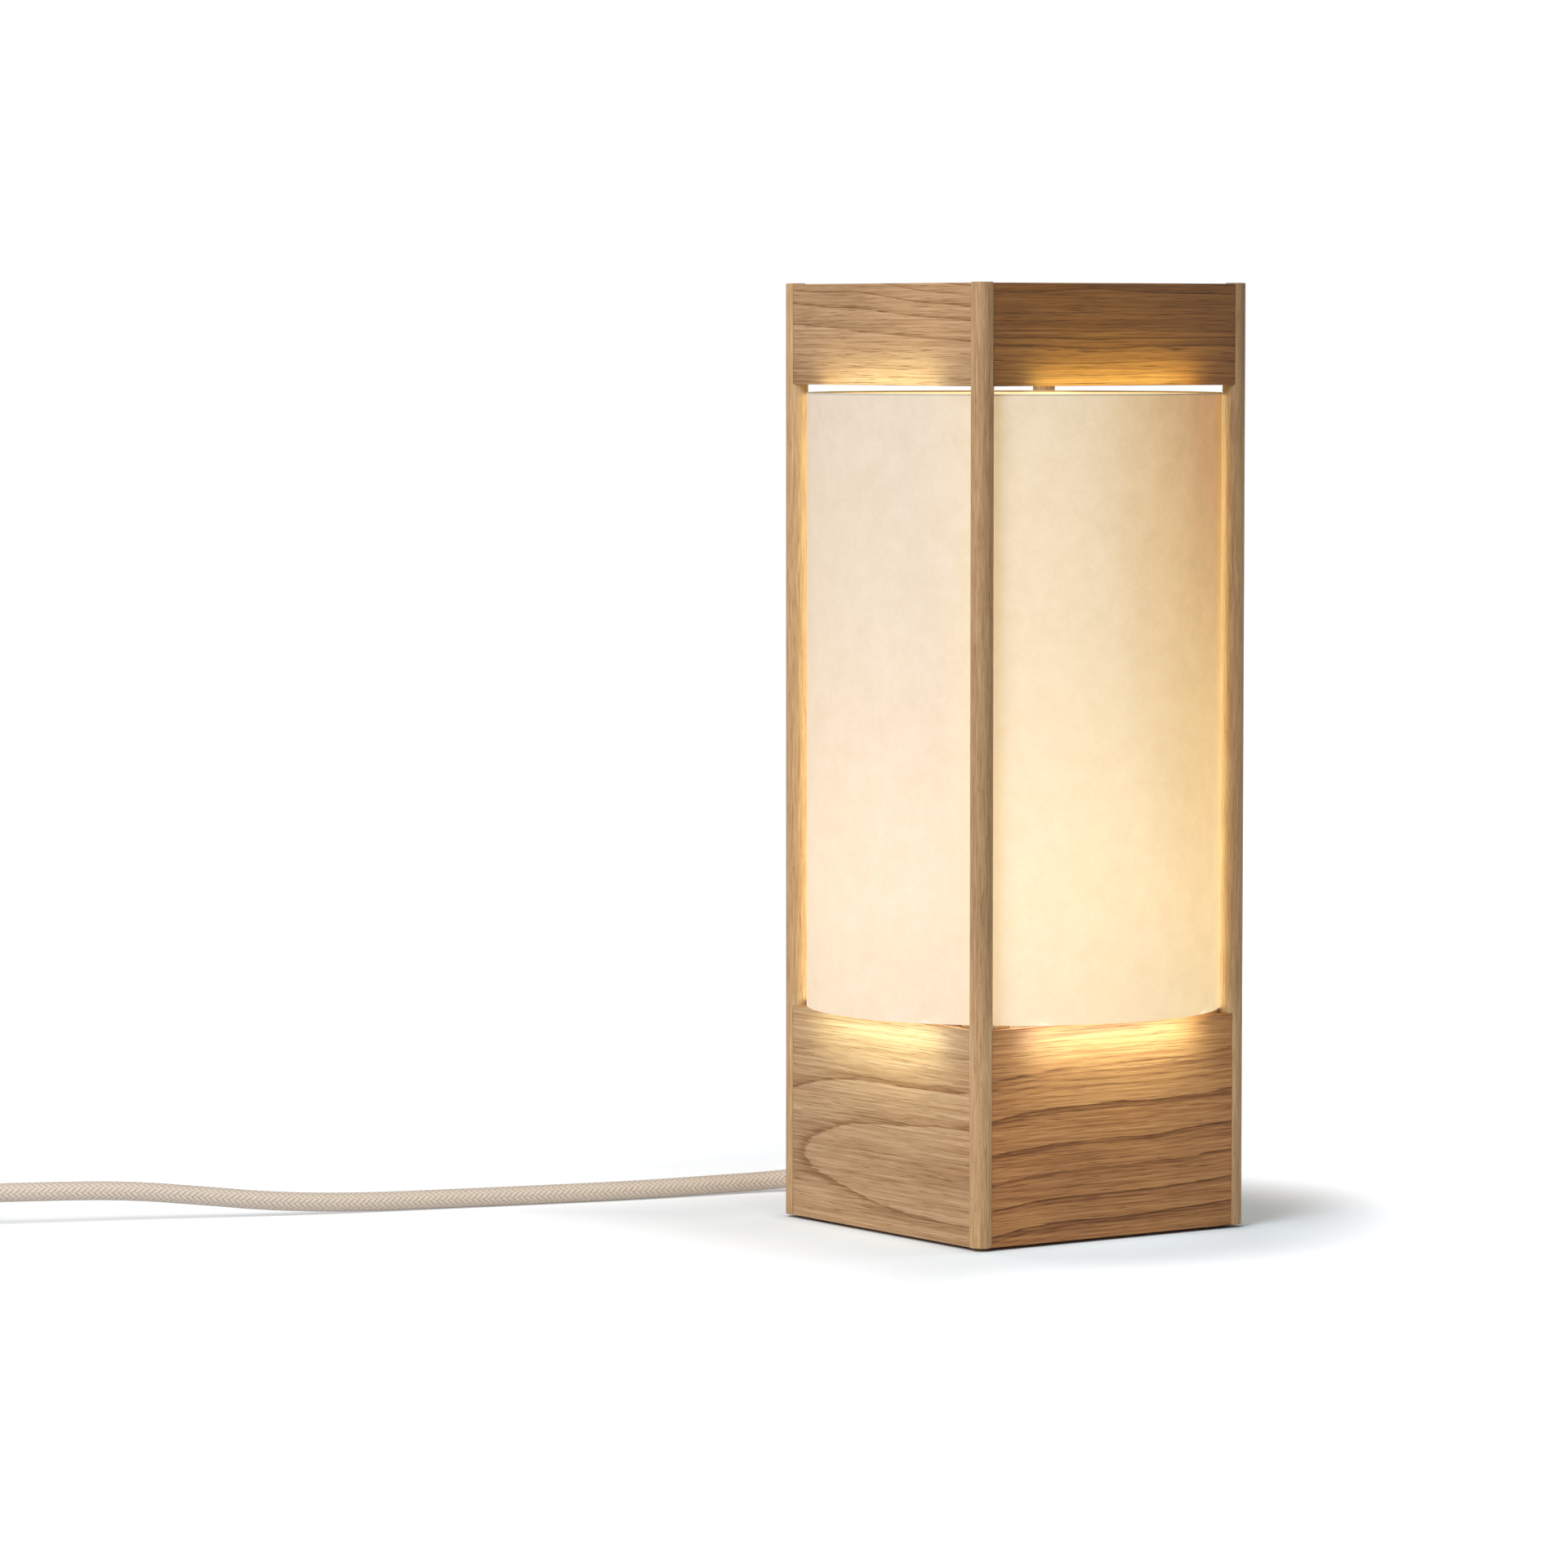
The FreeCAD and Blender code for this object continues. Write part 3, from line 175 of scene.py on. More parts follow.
Piece = bpy.types.Object
Material = bpy.types.Material
Socket = bpy.types.NodeSocket
Nodes = Mapping[str, Piece]
Pair = tuple[float, float]
Point = tuple[float, float, float]
Colour = tuple[float, float, float, float]
Value = Union[float, str, Sequence[float], Socket]
Adder = Callable[..., Socket]


class Body(Enum):
    """The bodies that pieces ride on."""

    LAMP = "lamp"
    BULB = "bulb"
    ROCKER = "rocker"


class Side(Enum):
    """The four sides of the frame: the turn that carries the front side to this one, in degrees."""

    FRONT = 0
    RIGHT = 90
    REAR = 180
    LEFT = 270


# Node graphs


def linear(code: str, share: float = 1.0) -> Colour:
    """Turns six sRGB hex digits to linear light, or to a share of it, with full alpha."""
    parts = [int(code[i:i + 2], 16) / 255 for i in (0, 2, 4)]
    return (*[share * (p / 12.92 if p <= 0.04045 else ((p + 0.055) / 1.055) ** 2.4) for p in parts], 1.0)


class Graph:
    """A node tree, cleared and ready to be drawn."""

    def __init__(self, tree: bpy.types.NodeTree, family: str = "ShaderNode") -> None:
        """Empties the tree, and keeps it with the start of its nodes' type names."""
        self.tree, self.family = tree, family
        tree.nodes.clear()

    def add(self, kind: str, inputs: Union[Sequence[Value], Mapping[str, Value]] = (), out: str = "",
            stops: Sequence[tuple[float, Value]] = (), **settings: object) -> Socket:
        """Adds a node.

        Args:
            kind: the rest of the node's type name, and its operation after a space.
            inputs: values, hex colours or the sockets that feed it, by name or in order of the inputs in use.
            out: the output wanted, if it isn't the first in use.
            stops: places on a colour ramp, each with a hex colour, a linear colour or a grey level.
            settings: the node's properties.

        Returns:
            The output wanted; the node's others are found through it.
        """
        kind, _, operation = kind.partition(" ")
        made = self.tree.nodes.new(self.family + kind)
        if operation:
            made.operation = operation
        for key, value in settings.items():
            setattr(made, key, value)
        if stops:
            ramp = made.color_ramp.elements
            while len(ramp) < len(stops):
                ramp.new(0.5)
            for element, (place, tone) in zip(ramp, stops):
                element.position = place
                element.color = (linear(tone) if isinstance(tone, str) else
                                 tone if isinstance(tone, tuple) else (tone, tone, tone, 1.0))
        in_use = [port for port in made.inputs if port.enabled]
        for key, value in inputs.items() if isinstance(inputs, Mapping) else enumerate(inputs):
            port = made.inputs[key] if isinstance(key, str) else in_use[key]
            if isinstance(value, Socket):
                self.tree.links.new(value, port)
            else:
                port.default_value = linear(value) if isinstance(value, str) else value
        return made.outputs[out] if out else next((port for port in made.outputs if port.enabled), None)


# Finishes


class Finish:
    """A drawn material: each kind says what feeds its surface."""

    def make(self, name: str) -> Material:
        """Makes the material.

        Args:
            name: the common name of the material.

        Returns:
            The material.
        """
        material = bpy.data.materials.new(name)
        material.use_nodes = True
        graph = Graph(material.node_tree)
        place = graph.add("TexCoord", out="Object")
        skin = graph.add("BsdfPrincipled", self.draw(graph.add, place))
        graph.add("OutputMaterial", [skin])
        return material

    def draw(self, add: Adder, place: Socket) -> dict[str, Value]:
        """Draws the pattern.

        Args:
            add: adds a node.
            place: where a point lies on its piece, in metres.

        Returns:
            What feeds the surface, by input.
        """
        raise NotImplementedError


@dataclass(frozen=True)
class Figure:
    """How the growth rings of the log cross one panel, in millimetres.

    The panel is cut from a log whose heart lies behind it and leans, which draws nested arches on the face.
    """

    turn_deg: float  # lays X along the panel
    heart_height: float  # of the log's middle above the floor
    heart_depth: float  # of the log's middle behind the lamp's
    lean: float  # how that depth changes along the panel
    fall: float  # how that height changes along the panel
    first: float  # width of the first ring
    power: float  # above 1, later rings close up
    uneven: float  # how far rings differ in width, in rings
    quiet_from: float = 1000.0  # height above which the bands fade


@dataclass(frozen=True)
class Timber:
    """The tones of one board, and how strong and how many its lesser lines are."""

    light: str = "CCA77F"
    middle: str = "B18960"
    early: str = "8C6138"
    pore: str = "6E482A"
    lesser: float = 0.08
    lesser_lines: float = 4.3


@dataclass(frozen=True)
class PanelWood(Finish):
    """Elm, flat sawn, planed and oiled: each ring starts with a band of open pores, the rest is fine and pale."""

    figure: Figure
    timber: Timber
    pore_long: float = 11.0  # mm
    pore_wide: float = 0.27  # mm
    roughness: float = 0.52

    def draw(self, add: Adder, place: Socket) -> dict[str, Value]:
        """Draws the rings, pores and fibres of one panel.

        Args:
            add: adds a node.
            place: where a point lies on the panel.

        Returns:
            What feeds the surface.
        """
        figure, timber = self.figure, self.timber
        # In millimetres, X along the grain.
        along = add("Mapping", {"Vector": place, "Rotation": (0, 0, math.radians(figure.turn_deg)),
                                "Scale": (PER_METRE,) * 3})
        drift, rag, fibre, pores = (
            add("TexNoise", [add("VectorMath MULTIPLY", [along, waves]), 1.0, detail, rough])
            for waves, detail, rough in (
                ((0.011, 0.02, 0.02), 2.0, 0.4),  # slow drift, a hand's breadth long and a finger wide
                ((0.06, 1.3, 1.3), 3.0, 0.6),  # ragged rings: 17 mm long, under 1 mm wide
                ((0.022, 1.5, 1.5), 5.0, 0.75),  # fibres: 45 mm long, drawn about 0.4 mm wide so that they show
                ((1 / self.pore_long, 1 / self.pore_wide, 1 / self.pore_wide), 1.0, 0.4)))
        x, y, up = add("SeparateXYZ", [along]).node.outputs
        height = add("Math SUBTRACT", [up, figure.heart_height])
        height = add("Math ADD", [height, add("MapRange", [drift, 0.3, 0.7, -2.2, 2.2])])
        height = add("Math MULTIPLY_ADD", [x, figure.fall, height])
        depth = add("Math MULTIPLY_ADD", [x, figure.lean, figure.heart_depth])
        depth = add("Math ADD", [depth, y])
        radius = add("VectorMath LENGTH", [add("CombineXYZ", [height, depth])])
        # The first ring is the widest, the next ones close up, and every ring is a little ragged along the fibres.
        years = add("Math POWER", [add("Math DIVIDE", [radius, figure.first]), figure.power])
        uneven = add("TexNoise", [years, 0.8, 1.0], noise_dimensions="1D")
        years = add("Math MULTIPLY_ADD", [uneven, figure.uneven, years])
        years = add("Math MULTIPLY_ADD", [rag, 0.14, years])
        phase = add("Math FRACT", [years])
        chance = add("TexWhiteNoise", [add("Math FLOOR", [years])], noise_dimensions="1D")
        band = add("ValToRGB", [phase], stops=(
            (0.0, 1.0), (0.03, 0.9), (0.075, 0.5), (0.3, 0.17), (0.98, 0.0), (1.0, 1.0)))
        band = add("Math MULTIPLY", [band, add("MapRange", [chance, 0, 1, 0.6, 1.0])])
        # Some boards are quiet towards the top, where the saw ran along the rings.
        quiet = add("MapRange", [up, figure.quiet_from, figure.quiet_from + 7.0, 1.0, 0.3])
        band = add("Math MULTIPLY", [band, quiet])
        # Lesser lines of growth between the bands, several to a ring and faint.
        lesser = add("Math SINE", [add("Math MULTIPLY", [years, 2 * math.pi * timber.lesser_lines])])
        lesser = add("MapRange", [lesser, 0.1, 1, 0, timber.lesser])
        lesser = add("Math MULTIPLY", [lesser, add("Math SUBTRACT", [1.2, phase])])
        # Pores crowd where a ring starts.
        edge = add("MapRange", [band, 0, 1, 0.62, 0.45])
        pore = add("MapRange", [pores, edge, add("Math ADD", [edge, 0.12])])
        tone = add("MapRange", [fibre, 0.3, 0.7, -0.2, 0.82])
        tone = add("Math ADD", [lesser, tone])
        tone = add("Math MULTIPLY_ADD", [band, 0.8, tone], use_clamp=True)
        colour = add("ValToRGB", [tone], stops=((0.0, timber.light), (0.5, timber.middle), (1.0, timber.early)))
        colour = add("Mix", [add("Math MULTIPLY", [pore, 0.6]), colour, timber.pore], data_type="RGBA")
        broad = add("TexNoise", [place, 18.0, 1.0])  # broad clouds, some 55 mm across
        shade = add("MapRange", [broad, 0.3, 0.7, 0.9, 1.06])
        colour = add("Mix", [1.0, colour, shade], data_type="RGBA", blend_type="MULTIPLY")
        relief = add("Math MULTIPLY_ADD", [pore, -1.0, fibre])
        return {"Base Color": colour, "Roughness": add("MapRange", [pore, 0, 1, self.roughness, 0.8]),
                "IOR": 1.5, "Specular IOR Level": 0.35,
                "Normal": add("Bump", {"Strength": 0.35, "Distance": 0.00012, "Height": relief})}


@dataclass(frozen=True)
class PostWood(Finish):
    """The same timber turned to a dowel: fine pale lines run up the post, whose foot or head may differ in tone."""

    light: str = "C8A57B"
    dark: str = "9F784F"
    foot: float = 1.0
    head: float = 1.0
    roughness: float = 0.5
    line_wide: float = 0.3  # mm
    line_long: float = 7.0  # mm

    def draw(self, add: Adder, place: Socket) -> dict[str, Value]:
        """Draws upright fibres.

        Args:
            add: adds a node.
            place: where a point lies on the post.

        Returns:
            What feeds the surface.
        """
        wide, long = PER_METRE / self.line_wide, PER_METRE / self.line_long
        lines = add("TexNoise", [add("VectorMath MULTIPLY", [place, (wide, wide, long)]), 0.5, 4.0, 0.6])
        # Pores, about 0.45 mm wide and 5.5 mm long.
        pores = add("TexNoise", [add("VectorMath MULTIPLY", [place, (2200, 2200, 180)]), 1.0, 1.0])
        pore = add("MapRange", [pores, 0.62, 0.74, 0, 0.5])
        tone = add("Math ADD", [add("MapRange", [lines, 0.3, 0.72]), pore], use_clamp=True)
        colour = add("ValToRGB", [tone], stops=((0.0, self.light), (1.0, self.dark)))
        up = add("SeparateXYZ", [place], "Z")
        foot = add("MapRange", [up, 0.07, 0.11, self.foot, 1.0])
        head = add("MapRange", [up, 0.27, 0.31, 1.0, self.head])
        colour = add("Mix", [1.0, colour, add("Math MULTIPLY", [foot, head])], data_type="RGBA",
                     blend_type="MULTIPLY")
        return {"Base Color": colour, "Roughness": self.roughness, "IOR": 1.5, "Specular IOR Level": 0.35,
                "Normal": add("Bump", {"Strength": 0.25, "Distance": 0.0001, "Height": lines})}


@dataclass(frozen=True)
class ShadePaper(Finish):
    """Fibre paper laminated on clear film: matt, cream, cloudy where fibres gather, and glowing with the bulb."""

    strength: float = 0.87
    rim: float = 0.45
    bottom: float = 77.4
    top: float = 294.6
    warm_side: float = 300.0
    amber_side: float = 325.0

    def heights(self, add: Adder, place: Socket) -> tuple[Socket, Socket]:
        """Gives the share of the sheet's height, and of its glow, which drops at the cut rim, a line 0.5 mm wide."""
        up = add("SeparateXYZ", [place], "Z")
        return (add("MapRange", [up, self.bottom * MM, self.top * MM]),
                add("MapRange", [up, (self.top - 0.7) * MM, (self.top - 0.5) * MM, 1.0, self.rim]))

    def draw(self, add: Adder, place: Socket) -> dict[str, Value]:
        """Draws the cloudy sheet and its glow.

        Args:
            add: adds a node.
            place: where a point lies on the sheet.

        Returns:
            What feeds the surface.
        """
        height, rim = self.heights(add, place)
        cloud = add("TexNoise", [place, 120.0, 5.0, 0.62])  # clouds of fibre, some 8 mm across
        speck = add("TexNoise", [place, 600.0, 3.0])  # specks, under 2 mm
        mottle = add("MapRange", [add("Math MULTIPLY_ADD", [speck, 0.5, cloud]), 0.45, 1.05])
        level = add("ValToRGB", [height], stops=(
            (0.0, 0.905), (0.08, 0.945), (0.2, 1.0), (0.33, 0.945), (0.46, 0.86), (0.65, 0.755), (1.0, 0.62)))
        # The sheet lets more and warmer light through on one side, where it is rolled tighter.
        flat = add("VectorMath NORMALIZE", [add("VectorMath MULTIPLY", [place, (1, 1, 0)])])
        warm, amber = (add("VectorMath DOT_PRODUCT", [flat, (math.cos(turn), math.sin(turn), 0)])
                       for turn in (math.radians(self.warm_side), math.radians(self.amber_side)))
        side = add("Math MULTIPLY_ADD", [warm, 0.8, add("Math MULTIPLY_ADD", [height, 0.24, -0.13])])
        # Near the edge of that side it turns amber and cloudier, more so towards the top.
        square = add("Math MULTIPLY", [height, height])
        side = add("Math MULTIPLY_ADD", [add("MapRange", [amber, 0.8, 1, 0, 0.1]), square, side])
        warmth = add("ValToRGB", [side], stops=(
            (0.0, "E9C89C"), (0.24, "F9D8A3"), (0.64, "FFDDA1"), (0.8, "FDCD79"), (0.92, "EAA540"), (1.0, "E59A1C")))
        clouded = add("MapRange", [side, 0.5, 1, 0.962, 0.84])
        power = level
        for share in (add("MapRange", [mottle, 0, 1, 1.012, clouded]), self.strength, rim):
            power = add("Math MULTIPLY", [power, share])
        return {"Base Color": add("ValToRGB", [mottle], stops=((0.0, "A2A2A2"), (1.0, "989690"))),
                "Roughness": 0.85, "IOR": 1.45, "Specular IOR Level": 0.2,
                "Emission Color": warmth, "Emission Strength": power,
                "Normal": add("Bump", {"Strength": 0.12, "Distance": 0.0001, "Height": mottle})}


@dataclass(frozen=True)
class ShadeInside(ShadePaper):
    """The sheet's inner face: creamier than the outer one, brightest low beside the bulb, with no glow at the rim."""

    strength: float = 0.9
    rim: float = 0.0

    def draw(self, add: Adder, place: Socket) -> dict[str, Value]:
        """Draws the inner face.

        Args:
            add: adds a node.
            place: where a point lies on the sheet.

        Returns:
            What feeds the surface.
        """
        height, rim = self.heights(add, place)
        cloud = add("TexNoise", [place, 120.0, 4.0])  # clouds of fibre, some 8 mm across
        power = add("ValToRGB", [height], stops=(
            (0.0, 0.9), (0.2, 0.62), (0.6, 0.5), (0.985, 0.46), (0.992, 1.0)))
        for share in (self.strength, rim):
            power = add("Math MULTIPLY", [power, share])
        return {"Base Color": add("ValToRGB", [cloud], stops=((0.3, "B7A57C"), (0.7, "C4B38C"))),
                "Roughness": 0.9, "Specular IOR Level": 0.2, "Emission Strength": power,
                "Emission Color": add("ValToRGB", [height], stops=((0.3, "FFEFCC"), (0.93, "FFE0AC")))}


@dataclass(frozen=True)
class Braid(Finish):
    """Cotton yarn braided two over two round the cord: matt, beige, with a fine herringbone."""

    yarn: str = "E7D8C7"
    shadow: str = "967E64"
    carriers: int = 12  # yarns round the cord, each way
    pick: float = 2.2  # mm along the cord to the next yarn

    def draw(self, add: Adder, place: Socket) -> dict[str, Value]:
        """Draws the braid on the cord's own UV map: U once round, V in millimetres along.

        Args:
            add: adds a node.
            place: where a point lies on the cord.

        Returns:
            What feeds the surface.
        """
        u, v, _ = add("SeparateXYZ", [place.node.outputs["UV"]]).node.outputs
        round_it = add("Math MULTIPLY", [u, float(self.carriers)])
        on = add("Math DIVIDE", [v, self.pick])
        heights, steps = [], []
        for way in ("ADD", "SUBTRACT"):
            strand = add(f"Math {way}", [round_it, on])
            middle = add("Math SUBTRACT", [add("Math FRACT", [strand]), 0.5])
            heights.append(add("MapRange", [add("Math ABSOLUTE", [middle]), 0.5, 0.32]))
            steps.append(add("Math FLOOR", [strand]))
        turn = add("Math FLOORED_MODULO", [add("Math ADD", steps), 4.0])
        height = add("Mix", [add("Math LESS_THAN", [turn, 2.0]), *heights], data_type="FLOAT")
        fuzz = add("TexNoise", [place, 1500.0, 2.0])  # loose fibres, under 0.7 mm
        tone = add("Math MULTIPLY_ADD", [fuzz, 0.5, height])
        return {"Base Color": add("ValToRGB", [tone], stops=((0.15, self.shadow), (0.75, self.yarn))),
                "Roughness": 0.9, "Sheen Weight": 0.25, "Sheen Roughness": 0.5, "Specular IOR Level": 0.2,
                "Normal": add("Bump", {"Strength": 0.7, "Distance": 0.00035, "Height": tone})}


@dataclass(frozen=True)
class Moulded(Finish):
    """Plastic, rubber, ceramic or paint: one colour with faint cloudiness and a fine skin from the mould."""

    colour: str
    roughness: float = 0.45
    grain: float = 0.6  # mm; a mould's grain is finer, and is drawn this coarse so that it shows
    depth: float = 0.000015
    glow: str = "000000"
    glow_strength: float = 0.0
    specular: float = 0.5

    def draw(self, add: Adder, place: Socket) -> dict[str, Value]:
        """Draws the moulded skin.

        Args:
            add: adds a node.
            place: where a point lies on the piece.

        Returns:
            What feeds the surface.
        """
        fine = add("TexNoise", [place, PER_METRE / self.grain, 2.0])
        cloud = add("TexNoise", [place, 90.0, 3.0])  # faint clouds, some 11 mm across
        colour = add("ValToRGB", [cloud], stops=((0.3, linear(self.colour, 0.94)), (0.62, self.colour)))
        rough = add("MapRange", [cloud, 0.3, 0.7, self.roughness * 0.85, min(self.roughness * 1.2, 1.0)])
        return {"Base Color": colour, "Roughness": rough, "IOR": 1.5, "Specular IOR Level": self.specular,
                "Emission Color": self.glow, "Emission Strength": self.glow_strength,
                "Normal": add("Bump", {"Strength": 0.4, "Distance": self.depth, "Height": fine})}


@dataclass(frozen=True)
class BareMetal(Finish):
    """Metal with the lines of its making: stretched noise along one axis, for brushed, drawn or turned work."""

    colour: str
    roughness: float = 0.3
    lines: Point = (40.0, 2500.0, 2500.0)  # to the metre: 25 mm long, 0.4 mm wide

    def draw(self, add: Adder, place: Socket) -> dict[str, Value]:
        """Draws the worked metal.

        Args:
            add: adds a node.
            place: where a point lies on the piece.

        Returns:
            What feeds the surface.
        """
        lines = add("TexNoise", [add("VectorMath MULTIPLY", [place, self.lines]), 1.0, 3.0])
        colour = add("ValToRGB", [lines], stops=((0.3, linear(self.colour, 0.8)), (0.65, self.colour)))
        rough = add("MapRange", [lines, 0, 1, self.roughness * 0.75, self.roughness * 1.3])
        return {"Base Color": colour, "Metallic": 1.0, "Roughness": rough,
                "Normal": add("Bump", {"Strength": 0.2, "Distance": 0.00001, "Height": lines})}


@dataclass(frozen=True)
class Webbing(Finish):
    """Woven polyester strap: dark, matt, with ribs across its length on the strap's own UV map."""

    yarn: str = "4A443E"
    gap: str = "26221F"
    rib: float = 1.1  # mm from rib to rib

    def draw(self, add: Adder, place: Socket) -> dict[str, Value]:
        """Draws the ribs, in millimetres.

        Args:
            add: adds a node.
            place: where a point lies on the strap.

        Returns:
            What feeds the surface.
        """
        u, v, _ = add("SeparateXYZ", [place.node.outputs["UV"]]).node.outputs
        waves = [add("Math SINE", [add("Math MULTIPLY", [run, 2 * math.pi / step])])
                 for run, step in ((u, self.rib), (v, self.rib * 0.8))]
        height = add("MapRange", [add("Math MULTIPLY", waves), -1.0, 1.0])
        return {"Base Color": add("ValToRGB", [height], stops=((0.2, self.gap), (0.7, self.yarn))),
                "Roughness": 0.85, "Sheen Weight": 0.3,
                "Normal": add("Bump", {"Strength": 0.6, "Distance": 0.0002, "Height": height})}


class FloorPaint(Finish):
    """Matt white paint that shows white to the camera and keeps the lamp's shadow."""

    def draw(self, add: Adder, place: Socket) -> dict[str, Value]:
        """Draws the shadow's reach, in metres from the lamp's middle.

        Args:
            add: adds a node.
            place: where a point lies on the floor.

        Returns:
            What feeds the surface.
        """
        away = add("VectorMath LENGTH", [place])
        x, y, _ = add("SeparateXYZ", [add("VectorMath ABSOLUTE", [place])]).node.outputs
        reach = add("Math MAXIMUM", [x, y])
        # The shadow side fades out quickly; the lit side stays just white, so that the cord's shadow shows there,
        # with a soft grey hem round the lamp.
        fade = add("MapRange", [away, 0.087, 0.183, 0.13, 0.85], interpolation_type="SMOOTHSTEP")
        hem = add("MapRange", [reach, 0.075, 0.16, 0.12, 0.4], interpolation_type="SMOOTHSTEP")
        right = add("VectorMath DOT_PRODUCT", [place, (0.817, -0.573, 0)])
        share = add("MapRange", [right, -0.04, 0.05])
        lift = add("Mix", [share, hem, fade], data_type="FLOAT")
        far = add("Math MAXIMUM", [add("MapRange", [away, 0.36, 0.9]),
                                   add("MapRange", [add("SeparateXYZ", [place], "Y"), 0.2, 0.5])])
        lift = add("Mix", [far, lift, 0.85], data_type="FLOAT")
        # Dark under the lamp, so that the gap between the frame and the floor reads as a line.
        lift = add("Math MULTIPLY", [lift, add("MapRange", [reach, 0.0585, 0.066])])
        rays = add("LightPath").node.outputs
        seen = add("Math MAXIMUM", [rays["Is Camera Ray"], rays["Is Glossy Ray"]])
        # The shadow side is a little cooler, so that the warm light of the lamp leaves the shadow grey.
        near = add("Math MULTIPLY", [add("MapRange", [away, 0.3, 0.13]), share])
        tint = add("Mix", [near, "EBEFF4", "DEE6F0"], data_type="RGBA")
        return {"Base Color": tint, "Roughness": 0.9, "Specular IOR Level": 0.0, "Emission Color": "FFFFFF",
                "Emission Strength": add("Math MULTIPLY", [seen, lift])}


class Finishes:
    """Every material that pieces share, made once."""

    def __init__(self) -> None:
        """Makes the shared materials; a comment says what each gives the eye."""
        smooth = 0.00001
        coarse = 0.0001
        self.posts = PostWood().make("oiled_elm_dowel")  # mid brown, fine upright lines
        self.dark_post = PostWood("BA9870", "916B45", foot=1.3).make("oiled_elm_dark_dowel")  # darker, pale foot
        self.dark_head_post = PostWood(head=0.62).make("oiled_elm_dark_head_dowel")  # darker towards the top
        self.plain_wood = PostWood("D2B48C", "B08A5E", line_wide=1.1).make("sawn_pine")  # pale, coarse lines
        self.paper = ShadePaper().make("fibre_paper_shade")  # soft cream glow, amber on one side
        self.braid = Braid().make("cotton_braid")  # matt beige herringbone
        self.ivory = Moulded("D9CDB8", 0.5).make("ivory_abs")  # dull warm ivory
        self.rocker = Moulded("E2D8C6", 0.28, depth=smooth).make("polished_ivory_abs")  # ivory with a shine
        self.white = Moulded("ECE9E2", 0.5).make("white_polyamide")  # soft off-white
        self.gloss_white = Moulded("F0EFEB", 0.25, depth=smooth).make("white_polycarbonate")  # glossy white
        self.ceramic = Moulded("E4E0D6", 0.7, 0.9).make("unglazed_steatite")  # chalky cream
        self.inside = ShadeInside().make("fibre_paper_inside")  # bright warm cream
        self.opal = Moulded("FFF4E0", 0.4, glow="FFEFD0", glow_strength=6.0).make("opal_diffuser")  # lit white
        self.powder = Moulded("1E1D1C", 0.6, 0.5, coarse).make("black_powder_coat")  # black, fine grain
        self.rubber = Moulded("161616", 0.8, 0.8, coarse, specular=0.25).make("black_rubber")  # dull black
        self.zinc = BareMetal("C4C6C8", 0.34).make("zinc_plated_steel")  # cool grey streaks
        self.brass = BareMetal("D6B36A", 0.25).make("drawn_brass")  # bright yellow metal
        self.aluminium = BareMetal("D2D3D4", 0.3, (2500.0, 2500.0, 60.0)).make("rolled_aluminium")  # pale, streaked
        self.brown_lead = Moulded("5B3A25", 0.4).make("brown_pvc")  # satin brown
        self.blue_lead = Moulded("2C4A78", 0.4).make("blue_pvc")  # satin blue
        self.webbing = Webbing().make("polyester_webbing")  # dark woven ribs


# Meshes


def link(name: str, data: bpy.types.ID) -> Piece:
    """Puts data into the scene as an object at the origin.

    Args:
        name: the object's name.
        data: its mesh, curve, camera or light.

    Returns:
        The object.
    """
    piece = bpy.data.objects.new(name, data)
    bpy.context.scene.collection.objects.link(piece)
    return piece


def moved(place: Sequence[float], turn_deg: float = 0.0, axis: str = "X") -> Matrix:
    """Turns by degrees about an axis, then moves by millimetres."""
    return Matrix.Translation([v * MM for v in place]) @ Matrix.Rotation(math.radians(turn_deg), 4, axis)


def mesh_of(name: str, points: Sequence[Sequence[float]], faces: Sequence[Sequence[int]]) -> bpy.types.Mesh:
    """Makes a mesh as it is given.

    Args:
        name: the mesh's name.
        points: corners in metres.
        faces: corner numbers of each face.

    Returns:
        The mesh.
    """
    mesh = bpy.data.meshes.new(name)
    mesh.from_pydata([tuple(p) for p in points], [], [tuple(f) for f in faces])
    mesh.update()
    return mesh


def mesh_piece(name: str, points: Sequence[Sequence[float]], faces: Sequence[Sequence[int]],
               sharp_deg: float = SHARP, dissolve: bool = False) -> Piece:
    """Makes a piece with doubles merged and faces outwards, smooth but for its sharp edges.

    Args:
        name: the piece's name.
        points: corners in metres.
        faces: corner numbers of each face.
        sharp_deg: edges that turn more than this stay sharp.
        dissolve: whether faces without area are taken out.

    Returns:
        The piece, at the origin.
    """
    piece = link(name, mesh_of(name, points, faces))
    work = bmesh.new()
    work.from_mesh(piece.data)
    bmesh.ops.remove_doubles(work, verts=work.verts, dist=WELD)
    if dissolve:
        bmesh.ops.dissolve_degenerate(work, dist=WELD, edges=work.edges)
    bmesh.ops.recalc_face_normals(work, faces=work.faces)
    work.to_mesh(piece.data)
    work.free()
    soften(piece, sharp_deg)
    return piece


def soften(piece: Piece, sharp_deg: float) -> None:
    """Shades a piece smooth between its sharp edges."""
    piece.data.polygons.foreach_set("use_smooth", [True] * len(piece.data.polygons))
    piece.data.set_sharp_from_angle(angle=math.radians(sharp_deg))


def settle(piece: Piece, sharp_deg: float = SHARP) -> Piece:
    """Turns a piece's modifiers into plain mesh.

    Args:
        piece: the piece with modifiers.
        sharp_deg: edges that turn more than this stay sharp.

    Returns:
        The same piece.
    """
    evaluated = piece.evaluated_get(bpy.context.evaluated_depsgraph_get())
    old, mesh = piece.data, bpy.data.meshes.new_from_object(evaluated)
    piece.modifiers.clear()
    piece.data = mesh
    bpy.data.meshes.remove(old)
    soften(piece, sharp_deg)
    return piece


